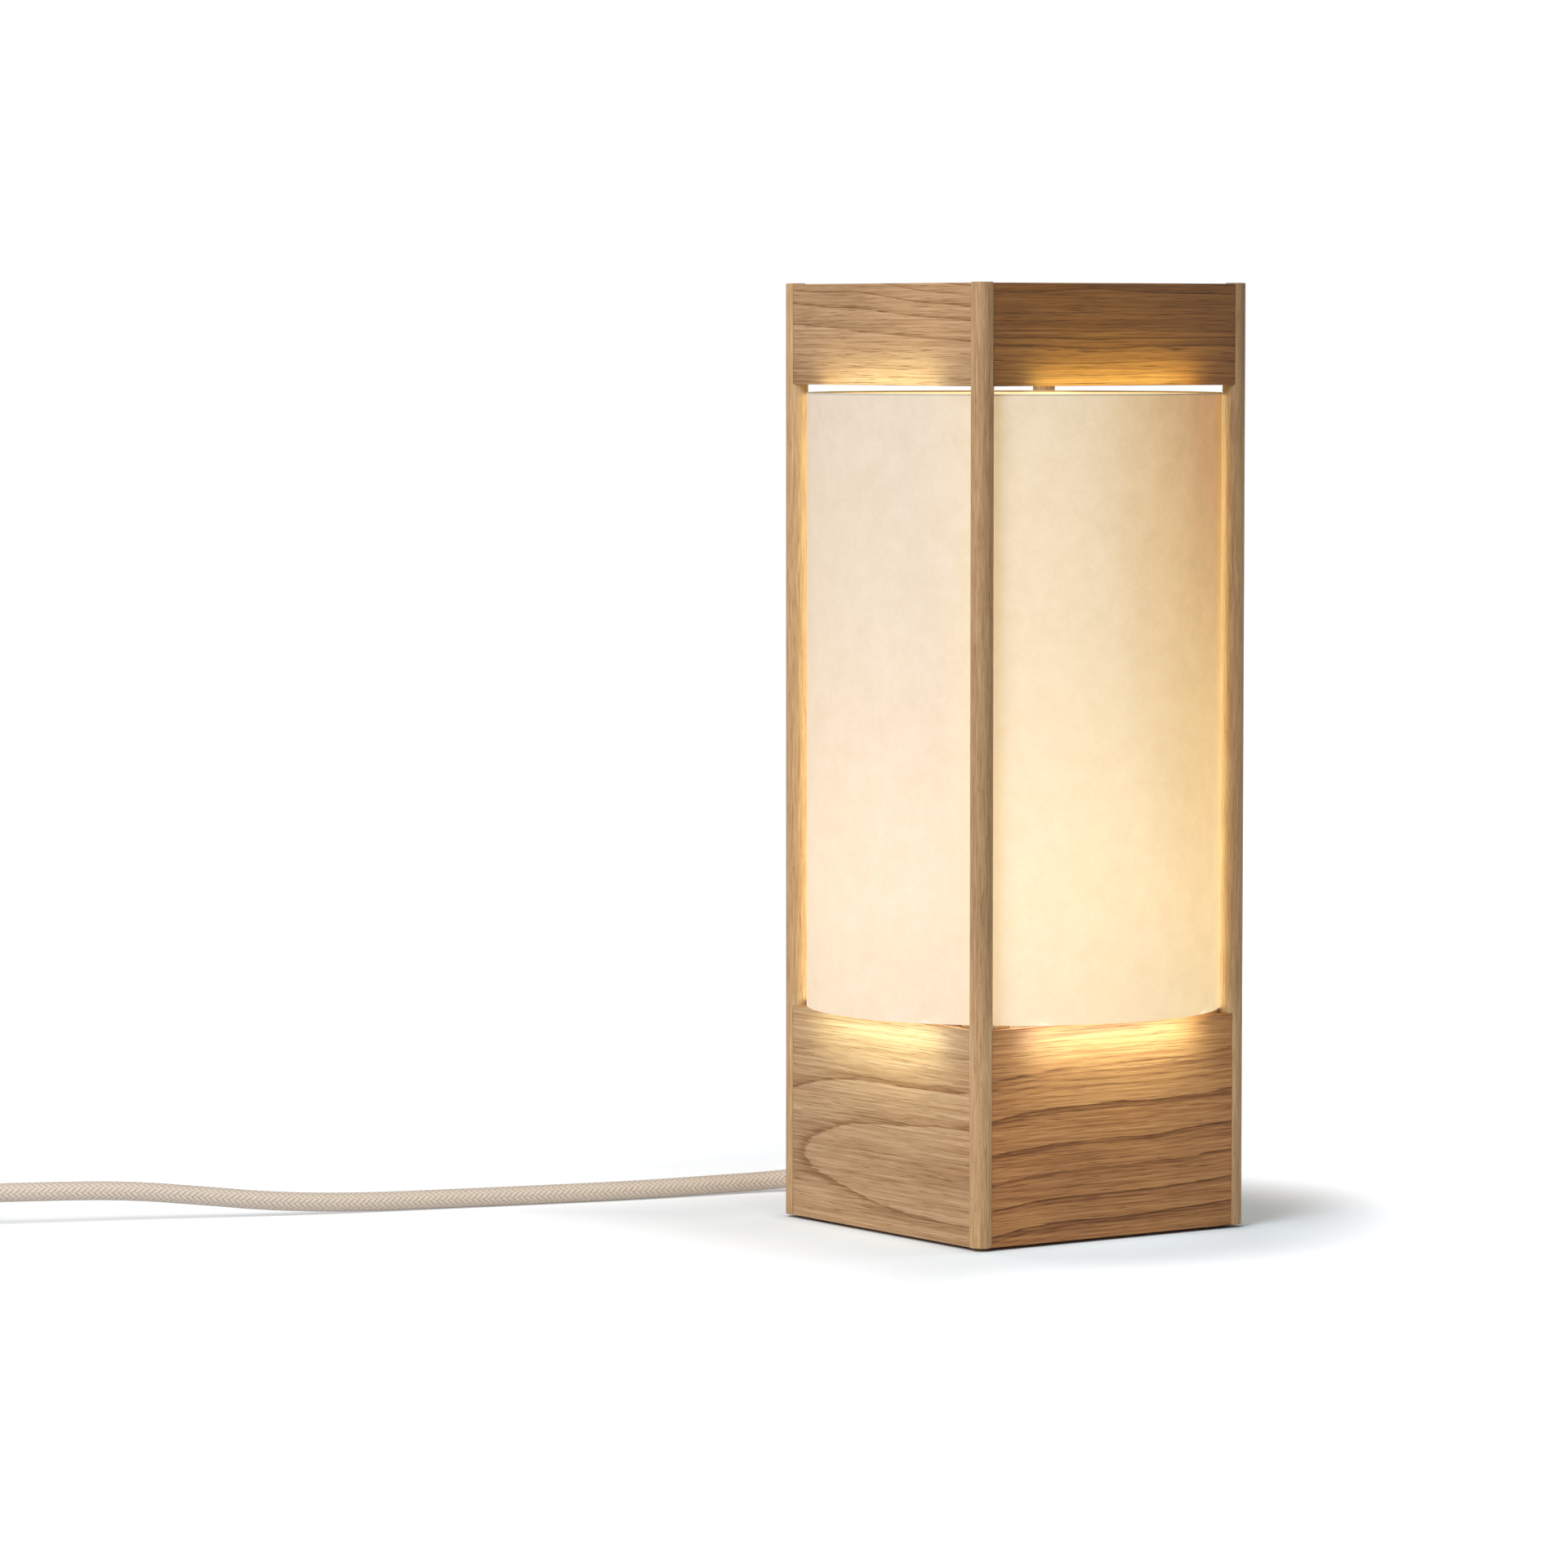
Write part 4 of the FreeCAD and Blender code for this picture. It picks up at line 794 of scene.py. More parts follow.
def ease(piece: Piece, width: float, segments: int) -> Piece:
    """Rounds a piece's edges.

    Args:
        piece: the piece.
        width: how far the rounding reaches, in millimetres.
        segments: faces across the rounding.

    Returns:
        The same piece.
    """
    bevel = piece.modifiers.new("ease", "BEVEL")
    bevel.width, bevel.segments = width * MM, segments
    bevel.limit_method, bevel.angle_limit = "ANGLE", math.radians(28)
    bevel.harden_normals = False
    return settle(piece, 40.0)


def cut(piece: Piece, tool: Piece) -> None:
    """Cuts one piece with another, which is removed.

    Args:
        piece: what is cut.
        tool: what cuts it.
    """
    modifier = piece.modifiers.new("cut", "BOOLEAN")
    modifier.operation, modifier.object, modifier.solver = "DIFFERENCE", tool, "EXACT"
    settle(piece)
    bpy.data.objects.remove(tool)


def quads(rings: int, count: int, closed: bool = True, looped: bool = False,
          capped: bool = False) -> list[tuple[int, ...]]:
    """Lists the faces between rings of points.

    Args:
        rings: number of rings.
        count: points in each ring.
        closed: whether a ring's last point meets its first.
        looped: whether the last ring meets the first.
        capped: whether the first and the last ring are filled.

    Returns:
        Corner numbers of each face.
    """
    faces = []
    for ring in range(rings if looped else rings - 1):
        a, b = ring * count, (ring + 1) % rings * count
        faces += [(a + i, a + (i + 1) % count, b + (i + 1) % count, b + i)
                  for i in range(count if closed else count - 1)]
    if capped:
        faces += [tuple(range(count - 1, -1, -1)), tuple((rings - 1) * count + i for i in range(count))]
    return faces


def turned(name: str, profile: Sequence[Pair], segments: int = 64, place: Matrix = HERE,
           sharp_deg: float = SHARP) -> Piece:
    """Turns a closed profile about Z and sets it at a place: radius and height of each corner, in millimetres."""
    points = [place @ (Vector((radius * math.cos(turn), radius * math.sin(turn), height)) * MM)
              for turn in (2 * math.pi * i / segments for i in range(segments)) for radius, height in profile]
    return mesh_piece(name, points, quads(segments, len(profile), looped=True), sharp_deg, dissolve=True)


def slab(name: str, outline: Sequence[Pair], low: float, high: float, place: Matrix = HERE) -> Piece:
    """Raises an outline from one height to another, in millimetres, and sets the sharp-edged slab at a place."""
    points = [place @ (Vector((x, y, z)) * MM) for z in (low, high) for x, y in outline]
    return mesh_piece(name, points, quads(2, len(outline), capped=True))


def ribs(start: float, end: float, shares: Pair, wide: Callable[[float], float]) -> list[Pair]:
    """Draws five ribs along the profile of a strain relief.

    Args:
        start: height of the first rib's foot in millimetres.
        end: height where the last rib's room ends.
        shares: where a rib starts and ends within its room.
        wide: the ribs' radius at a height.

    Returns:
        Corners of the profile.
    """
    count, deep, chamfer, corners = 5, 0.7, 0.3, []
    for i in range(count):
        low, high = (start + (end - start) * (i + share) / count for share in shares)
        corners += [(wide(low) - deep, low), (wide(low), low + chamfer), (wide(high), high),
                    (wide(high) - deep, high + chamfer)]
    return corners


def dress(piece: Piece, material: Material, slot: str, *nodes: str, body: Body = Body.LAMP) -> Piece:
    """Gives a new piece its material, body, slot and the nodes it stands for.

    Args:
        piece: the finished piece.
        material: its material.
        slot: the record's material slot.
        nodes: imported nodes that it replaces.
        body: what it rides on.

    Returns:
        The same piece.
    """
    piece.data.materials.clear()
    piece.data.materials.append(material)
    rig.ride(piece, body.value)
    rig.slot(piece, slot)
    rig.replaces(piece, *nodes)
    LOG.info("%s: %d faces", piece.name, len(piece.data.polygons))
    return piece


def paint(nodes: Nodes, material: Material, *names: str) -> list[Piece]:
    """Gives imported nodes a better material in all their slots.

    Args:
        nodes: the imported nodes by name.
        material: the material.
        names: which nodes.

    Returns:
        Those nodes.
    """
    for name in names:
        if not nodes[name].material_slots:
            nodes[name].data.materials.append(material)
        for slot in nodes[name].material_slots:
            slot.material = material
        LOG.info("%s: %s", name, material.name)
    return [nodes[name] for name in names]


class Fasteners:
    """A node tree that sets one small piece at many places."""

    def __init__(self) -> None:
        """Builds the tree with its named inputs."""
        tree = bpy.data.node_groups.new("set_at_places", "GeometryNodeTree")
        for name, kind in (("Places", "Geometry"), ("Piece", "Object"), ("Finish", "Material")):
            tree.interface.new_socket(name, in_out="INPUT", socket_type=f"NodeSocket{kind}")
        tree.interface.new_socket("Pieces", in_out="OUTPUT", socket_type="NodeSocketGeometry")
        add = Graph(tree, "").add
        given = add("NodeGroupInput").node.outputs
        shape = add("GeometryNodeObjectInfo", {"Object": given["Piece"]}, "Geometry")
        copies = add("GeometryNodeInstanceOnPoints", {"Points": given["Places"], "Instance": shape})
        real = add("GeometryNodeRealizeInstances", {"Geometry": copies})
        painted = add("GeometryNodeSetMaterial", {"Geometry": real, "Material": given["Finish"]})
        add("NodeGroupOutput", {"Pieces": painted})
        self.tree = tree

    def spread(self, name: str, piece: Piece, places: Sequence[Point], finish: Material) -> Piece:
        """Sets a piece at each place and keeps the result as one mesh.

        Args:
            name: the new piece's name.
            piece: the small piece, which is removed.
            places: how far each copy is moved, in metres.
            finish: their material.

        Returns:
            One mesh with all copies.
        """
        holder = link(name, mesh_of(name, places, []))
        modifier = holder.modifiers.new("places", "NODES")
        modifier.node_group = self.tree
        inputs = {i.name: i.identifier for i in self.tree.interface.items_tree if i.in_out == "INPUT"}
        modifier[inputs["Piece"]] = piece
        modifier[inputs["Finish"]] = finish
        settle(holder)
        bpy.data.objects.remove(piece)
        return holder


# Sub-assemblies


@dataclass
class WoodFrame:
    """Four turned posts with panels let in between them at the foot and the head."""

    finishes: Finishes
    half: float = 55.0
    post: float = 4.0
    foot: float = 0.9
    height: float = 333.0
    post_ease: float = 0.5
    face: float = 58.4
    thick: float = 5.0
    panel_ease: float = 0.35
    panel_end: float = 52.893
    lower_top: float = 76.1
    upper_low: float = 297.3
    upper_top: float = 332.7
    cord_hole: float = 4.5
    exit_height: float = 9.5
    segments: int = 64
    rows: int = 8

    def build(self) -> None:
        """Builds and dresses the posts and panels."""
        posts = {"front_left": self.finishes.dark_post, "front_right": self.finishes.dark_head_post}
        for depth, sy in (("front", -1), ("rear", 1)):
            for side, sx in (("left", -1), ("right", 1)):
                corner = f"{depth}_{side}"
                dress(self.dowel(f"{corner}_post_turned", sx, sy), posts.get(corner, self.finishes.posts),
                      "post_wood", f"{corner}_post")
        woods = self.woods()
        for side in Side:
            for tier, low, high in (("lower", self.foot, self.lower_top), ("upper", self.upper_low, self.upper_top)):
                name = f"{side.name.lower()}_{tier}"
                board = self.board(f"{name}_board", side, low, high)
                if name == "rear_lower":
                    self.bore(board)
                # Oiled elm: warm brown with darker arches or bands, each panel its own.
                wood = woods[name].make(f"oiled_elm_{name}")
                dress(ease(board, self.panel_ease, 3), wood, "panel_wood", f"{name}_panel")

    @staticmethod
    def woods() -> dict[str, PanelWood]:
        """Chooses each panel's grain and tone.

        Returns:
            The panels' finishes by name: arches, slanting bands or straight lines, on pale or dark boards.
        """
        pale = Timber()
        tan = Timber("BE9A73", "A57E57", "835B35", "603E1E")
        brown = Timber("D0985E", "B47945", "7B4A23", "542E15", 0.26, 6.2)
        dark = Timber("9C6B38", "815326", "603A17", "40250E", 0.14)
        return {
            "left_lower": PanelWood(Figure(90, 25, 67.7, -0.175, -0.02, 18.3, 1.35, 0.0, 54.0), pale),
            "left_upper": PanelWood(Figure(90, 287, 62, 0.0, 0.075, 29.0, 3.0, 0.0), tan),
            "front_lower": PanelWood(Figure(0, 76, 62, 0.02, -0.06, 18.4, 1.33, 0.3, 55.0), brown),
            "front_upper": PanelWood(Figure(0, 250, 75, 0.02, 0.01, 4.0, 1.0, 1.2), dark),
            "right_lower": PanelWood(Figure(90, 40, -44, 0.16, 0.05, 17.0, 2.0, 0.3), pale),
            "right_upper": PanelWood(Figure(90, 250, -50, 0.02, -0.04, 8.0, 1.0, 1.2), tan),
            "rear_lower": PanelWood(Figure(0, 40, -43, -0.15, -0.06, 18.0, 2.1, 0.3), brown),
            "rear_upper": PanelWood(Figure(0, 270, -50, 0.03, 0.05, 9.0, 1.0, 1.4), tan),
        }

    def dowel(self, name: str, sx: int, sy: int) -> Piece:
        """Builds a post: round between the panels, with a flat for each panel's end at the foot and the head.

        Args:
            name: the piece's name.
            sx: side of the lamp, left or right.
            sy: side of the lamp, front or rear.

        Returns:
            The post.
        """
        flat = self.half - self.panel_end
        rings = []  # radius, height, and whether the ring has flats
        for turn in map(math.radians, (90, 68, 45, 22, 0)):
            rings.append((self.post - self.post_ease * (1 - math.cos(turn)),
                          self.foot + self.post_ease * (1 - math.sin(turn)), True))
        top = [(radius, self.height + self.foot - level, True) for radius, level, _ in reversed(rings)]
        rings.append((self.post, self.lower_top, True))
        rings += [(self.post, self.lower_top + (self.upper_low - self.lower_top) * i / self.rows, False)
                  for i in range(self.rows + 1)]
        rings += [(self.post, self.upper_low, True), *top]
        points, turns = [], [2 * math.pi * (i + 0.5) / self.segments for i in range(self.segments)]
        for radius, level, flattened in rings:
            for turn in turns:
                x, y = radius * math.cos(turn), radius * math.sin(turn)
                if flattened:
                    x, y = max(x * sx, -flat) * sx, max(y * sy, -flat) * sy
                points.append(Vector((sx * self.half + x, sy * self.half + y, level)) * MM)
        return mesh_piece(name, points, quads(len(rings), self.segments, capped=True), 40.0)

    def board(self, name: str, side: Side, low: float, high: float) -> Piece:
        """Builds a sharp-edged panel on one side, from one height to another."""
        end, near, far = self.panel_end, -self.face, -self.face + self.thick
        return slab(name, [(-end, near), (end, near), (end, far), (-end, far)], low, high,
                    moved((0, 0, 0), side.value, "Z"))

    def bore(self, board: Piece) -> None:
        """Cuts the cord's hole through the rear panel, with a drill that passes it at both ends.

        Args:
            board: the panel.
        """
        hole, past = self.cord_hole, 2.0
        long, place = self.thick + 2 * past, moved((0, self.face + past, self.exit_height), 90)
        cut(board, turned("drill", [(0, 0), (hole, 0), (hole, long), (0, long)], 48, place))


@dataclass
class PaperShade:
    """A sheet rolled to a cylinder, its edge lapped and glued behind the rear right post."""

    finishes: Finishes
    radius: float = 73.28
    thick: float = 0.5
    low: float = 77.4
    high: float = 294.6
    lap_middle: float = 45.0
    lap_deg: float = 12.0
    lap_drop: float = 1.55
    segments: int = 240
    rows: int = 12

    def build(self) -> None:
        """Builds and dresses the sheet."""
        start, step = self.lap_middle - self.lap_deg / 2, 360.0 / self.segments
        lap = max(int(self.lap_deg / step), 1)
        path = [(start + step * i, self.radius - self.thick / 2) for i in range(self.segments + 1)]
        path += [(start + 360.0 + step * i, self.radius - self.thick * self.lap_drop) for i in range(2, lap + 1)]
        points = []
        for row in range(self.rows + 1):
            level = self.low + (self.high - self.low) * row / self.rows
            points += [Vector((r * math.cos(math.radians(a)), r * math.sin(math.radians(a)), level)) * MM
                       for a, r in path]
        sheet = link("rolled_shade", mesh_of("rolled_shade", points, quads(self.rows + 1, len(path), closed=False)))
        wall = sheet.modifiers.new("thickness", "SOLIDIFY")
        wall.thickness, wall.offset = self.thick * MM, 0.0
        settle(sheet, 40.0)
        dress(sheet, self.finishes.paper, "shade_sheet", "shade")
        sheet.data.materials.append(self.finishes.inside)
        facing_in = -0.5
        for face in sheet.data.polygons:
            middle = Vector((face.center.x, face.center.y, 0))
            face.material_index = int(face.normal.dot(middle.normalized()) < facing_in)


@dataclass
class Base:
    """The plate under the lower box with its screws and feet, the glue blocks and the joint pins."""

    finishes: Finishes
    fasteners: Fasteners
    inner: float = 53.4
    screw_inset: float = 6.5
    foot_inset: float = 15.0
    plate_low: float = 1.4
    screw_long: float = 14.0
    screw_head: float = 3.0
    screw_shank: float = 1.5
    foot: float = 6.0

    def build(self, nodes: Nodes) -> None:
        """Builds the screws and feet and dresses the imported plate, blocks and pins.

        Args:
            nodes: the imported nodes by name.
        """
        use, head, shank, long, low = (self.finishes, self.screw_head, self.screw_shank, self.screw_long,
                                       self.plate_low)
        screw = turned("base_screw", [(0, 0.9), (0.9, 0.9), (1.5, 0), (head - 0.15, 0), (head, 0.15), (shank, 1.6),
                                      (shank, long - 2), (0, long)], 32)
        foot = turned("foot", [(0, 0.2), (self.foot - 1.4, 0.2), (self.foot - 1.0, 0), (self.foot - 0.3, 0),
                               (self.foot, 0.3), (self.foot, low), (0, low)], 40)
        for name, piece, inset, level, finish, slot in (
                ("base_screws", screw, self.screw_inset, low, use.zinc, "screw_steel"),
                ("rubber_feet", foot, self.foot_inset, 0.0, use.rubber, "foot_rubber")):
            reach = (self.inner - inset) * MM
            corners = [(x * reach, y * reach, level * MM) for x in (-1, 1) for y in (-1, 1)]
            dress(self.fasteners.spread(f"{name}_set", piece, corners, finish), finish, slot, name)
        paint(nodes, use.powder, "base_plate")
        paint(nodes, use.plain_wood, "corner_blocks", "lower_joint_pins", "upper_joint_pins")


@dataclass
class LampHolder:
    """The bracket on the plate, the nipple and nut, and the lampholder that the bulb screws into."""

    finishes: Finishes
    fasteners: Fasteners
    bracket_top: float = 23.9
    flange_top: float = 5.4
    clamp_top: float = 15.4
    cap_high: float = 15.6
    cap_floor: float = 3.2
    shell_high: float = 33.0
    radius: float = 14.0
    inside: float = 12.0
    nipple_hole: float = 4.95
    mouth: float = 8.3
    insert_top: float = 44.5
    ribs: int = 6
    exit_height: float = 9.5
    relief_end: float = 76.4
    jacket_end: float = 18.0
    cord: float = 6.8
    lead: float = 2.2
    lead_offset: float = 1.6
    lead_bend: float = 10.0
    lead_top: float = 36.5
    bracket_screws: tuple[Pair, ...] = ((-26, 0), (26, 0))
    bracket_screw_long: float = 3.9
    clamp_screws: tuple[Pair, ...] = ((-8, 38), (8, 38))
    clamp_screw_long: float = 13.9

    def build(self, nodes: Nodes) -> None:
        """Builds the cap, the ribbed shell and the pan-head screws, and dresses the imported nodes.

        Args:
            nodes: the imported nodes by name.
        """
        use, out, low, top = self.finishes, self.radius, self.bracket_top, self.bracket_top + self.cap_high
        floor, end, shelf = low + self.cap_floor, top + self.shell_high, self.insert_top + 0.3
        cap = turned("holder_cap_moulded", [
            (self.nipple_hole, low), (out - 1.2, low), (out - 0.35, low + 0.35), (out, low + 1.2), (out, top - 1.0),
            (out - 0.4, top - 0.8), (out - 0.4, top), (self.inside, top), (self.inside, floor),
            (self.nipple_hole, floor)])
        dress(cap, use.white, "holder_plastic", "holder_cap")
        profile = [(self.mouth, shelf), (self.mouth, end), (out - 1.2, end), (out - 0.35, end - 0.35),
                   (out, end - 1.2)]
        pitch = (self.shell_high - 12) / self.ribs
        for i in range(self.ribs):
            high = end - 4 - i * pitch
            deep = high - pitch * 0.4
            profile += [(out, high), (out - 0.5, high - 0.4), (out - 0.5, deep), (out, deep - 0.4)]
        profile += [(out, top), (self.inside, top), (self.inside, shelf)]
        dress(turned("holder_shell_ribbed", profile), use.white, "holder_plastic", "holder_shell")
        self.pan_screws("bracket_screws", self.bracket_screws, self.flange_top, self.bracket_screw_long)
        self.pan_screws("cord_clamp_screws", self.clamp_screws, self.clamp_top, self.clamp_screw_long)
        paint(nodes, use.zinc, "holder_bracket", "nipple_nut")
        paint(nodes, use.brass, "holder_nipple", "holder_thread_sleeve", "holder_contact")
        paint(nodes, use.ceramic, "holder_insert")
        paint(nodes, use.ivory, "cord_clamp_base", "cord_clamp_bar", "strain_relief_nut")
        self.wiring()

    def wiring(self) -> None:
        """Builds the cord inside the lamp and its two leads, which bend up into the nipple."""
        use, level, start, bend = self.finishes, self.exit_height, self.jacket_end, self.lead_bend
        jacket = CordLine("jacket_line", [
            (0, (start + (self.relief_end - start) * i / 3) * MM, level * MM) for i in range(4)])
        dress(jacket.tube("inner_cord_braided", self.cord * MM), use.braid, "cord_braid", "inner_cord")
        corner = bend * (1 - math.tan(math.pi / 8))
        plan = [(start, level), (bend, level), (corner, level), (0, level + corner), (0, level + bend),
                (0, self.lead_top)]
        for node, x, finish in (("live_lead", -self.lead_offset, use.brown_lead),
                                ("neutral_lead", self.lead_offset, use.blue_lead)):
            lead = CordLine(f"{node}_line", [(x * MM, y * MM, z * MM) for y, z in plan])
            dress(lead.tube(f"{node}_tube", self.lead * MM, 16), finish, "lead_insulation", node)

    def pan_screws(self, node: str, places: Sequence[Pair], seat: float, long: float) -> None:
        """Sets pan-head screws with a round recess at the given places.

        Args:
            node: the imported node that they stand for.
            places: plan positions in millimetres.
            seat: height of the surface under the heads.
            long: shank length.
        """
        shank, head, zinc = 1.5, 2.75, self.finishes.zinc
        screw = turned(f"{node}_one", [(0, -long), (shank, 0.6 - long), (shank, 0), (head, 0), (head, 1.2),
                                       (2.2, 1.85), (1.1, 2.0), (0.7, 1.2), (0, 1.2)], 28)
        places = [(x * MM, y * MM, seat * MM) for x, y in places]
        dress(self.fasteners.spread(f"{node}_set", screw, places, zinc), zinc, "screw_steel", node)


@dataclass
class Bulb:
    """A small globe bulb: opal ball, white collar and a rolled screw cap."""

    finishes: Finishes
    collar_low: float = 71.5
    collar_top: float = 88.3
    collar: tuple[Pair, ...] = ((7.2, 73.1), (7.6, 73.5), (12.0, 80.2), (14.4, 86.0), (14.8, 87.3))
    globe: float = 22.5
    neck: float = 14.5
    wall: float = 1.2
    cap_low: float = 52.5
    cap: float = 6.9
    pitch: float = 2.82
    roll: float = 0.3
    steps: int = 40
    roll_steps: int = 48

    def build(self, nodes: Nodes) -> None:
        """Builds the globe, the collar and the rolled cap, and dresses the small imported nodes.

        Args:
            nodes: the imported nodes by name.
        """
        use, low, top = self.finishes, self.collar_low, self.collar_top
        middle = top + math.sqrt(self.globe ** 2 - self.neck ** 2)
        inner = self.globe - self.wall
        start = math.asin(self.neck / self.globe)
        inner_start = math.acos(min((middle - top) / inner, 1.0))
        profile = []
        for radius, first, last in ((self.globe, start, math.pi), (inner, math.pi, inner_start)):
            for i in range(self.steps + 1):
                turn = first + (last - first) * i / self.steps
                profile.append((radius * math.sin(turn), middle - radius * math.cos(turn)))
        dress(turned("bulb_globe_opal", profile, 72), use.opal, "globe_diffuser", "bulb_globe", body=Body.BULB)
        (foot, _), *_, (rim, _) = self.collar
        collar = turned("bulb_collar_moulded", [(0, low), (foot, low), *self.collar, (rim, top), (0, top)], 72)
        dress(collar, use.gloss_white, "bulb_plastic", "bulb_collar", body=Body.BULB)
        hollow = self.cap - 0.6
        rolls = [(hollow, self.cap_low), (self.cap - 0.4, self.cap_low)]
        for i in range(self.roll_steps + 1):
            level = self.cap_low + 0.6 + (low - self.cap_low - 2.0) * i / self.roll_steps
            wave = math.cos(2 * math.pi * (level - self.cap_low) / self.pitch)
            rolls.append((self.cap - self.roll + self.roll * wave, level))
        rolls += [(self.cap, low - 1.0), (self.cap, low), (hollow, low)]
        dress(turned("bulb_screw_cap_rolled", rolls), use.aluminium, "bulb_metal", "bulb_screw_cap", body=Body.BULB)
        paint(nodes, use.aluminium, "bulb_led_board", "bulb_contact")
        paint(nodes, use.ceramic, "bulb_insulator")


class CordLine:
    """A cord's middle line: a smooth spline through the neighbourhood of its route's points."""

    def __init__(self, name: str, route: Sequence[Point]) -> None:
        """Draws the spline and reads its points.

        Args:
            name: the line's name.
            route: control points in metres.
        """
        curve = bpy.data.curves.new(name, "CURVE")
        curve.dimensions = "3D"
        spline = curve.splines.new("NURBS")
        spline.points.add(len(route) - 1)
        for point, place in zip(spline.points, route):
            point.co = (*place, 1.0)
        spline.order_u, spline.use_endpoint_u, spline.resolution_u = 3, True, 8
        holder = link(name, curve)
        evaluated = holder.evaluated_get(bpy.context.evaluated_depsgraph_get())
        mesh = bpy.data.meshes.new_from_object(evaluated)
        self.points = [v.co.copy() for v in mesh.vertices]
        bpy.data.meshes.remove(mesh)
        bpy.data.objects.remove(holder)
        bpy.data.curves.remove(curve)

    @property
    def length(self) -> float:
        """The line's length in metres."""
        return sum((b - a).length for a, b in zip(self.points, self.points[1:]))

    def tube(self, name: str, diameter: float, sides: int = 24) -> Piece:
        """Carries a round section along the line, with U round it and V along it in millimetres.

        Args:
            name: the piece's name.
            diameter: in metres.
            sides: faces round.

        Returns:
            The closed tube.
        """
        line = [p for i, p in enumerate(self.points) if i == 0 or (p - self.points[i - 1]).length > 1e-6]
        tangents = [(line[min(i + 1, len(line) - 1)] - line[max(i - 1, 0)]).normalized() for i in range(len(line))]
        side = tangents[0].orthogonal().normalized()
        points, marks, run = [], [], 0.0
        for i, (place, ahead) in enumerate(zip(line, tangents)):
            run += (place - line[i - 1]).length if i else 0.0
            side = (side - ahead * side.dot(ahead)).normalized()
            other = ahead.cross(side)
            marks.append(run / MM)
            points += [place + (side * math.cos(a) + other * math.sin(a)) * diameter / 2
                       for a in (2 * math.pi * j / sides for j in range(sides))]
        mesh = mesh_of(name, points, quads(len(line), sides, capped=True))
        corners = [(u / sides, mark) for a, b in zip(marks, marks[1:]) for j in range(sides)
                   for u, mark in ((j, a), (j + 1, a), (j + 1, b), (j, b))]
        corners += [(0.0, 0.0)] * (2 * sides)
        mesh.uv_layers.new(name="Braid").data.foreach_set("uv", [v for corner in corners for v in corner])
        piece = link(name, mesh)
        soften(piece, 50.0)
        return piece


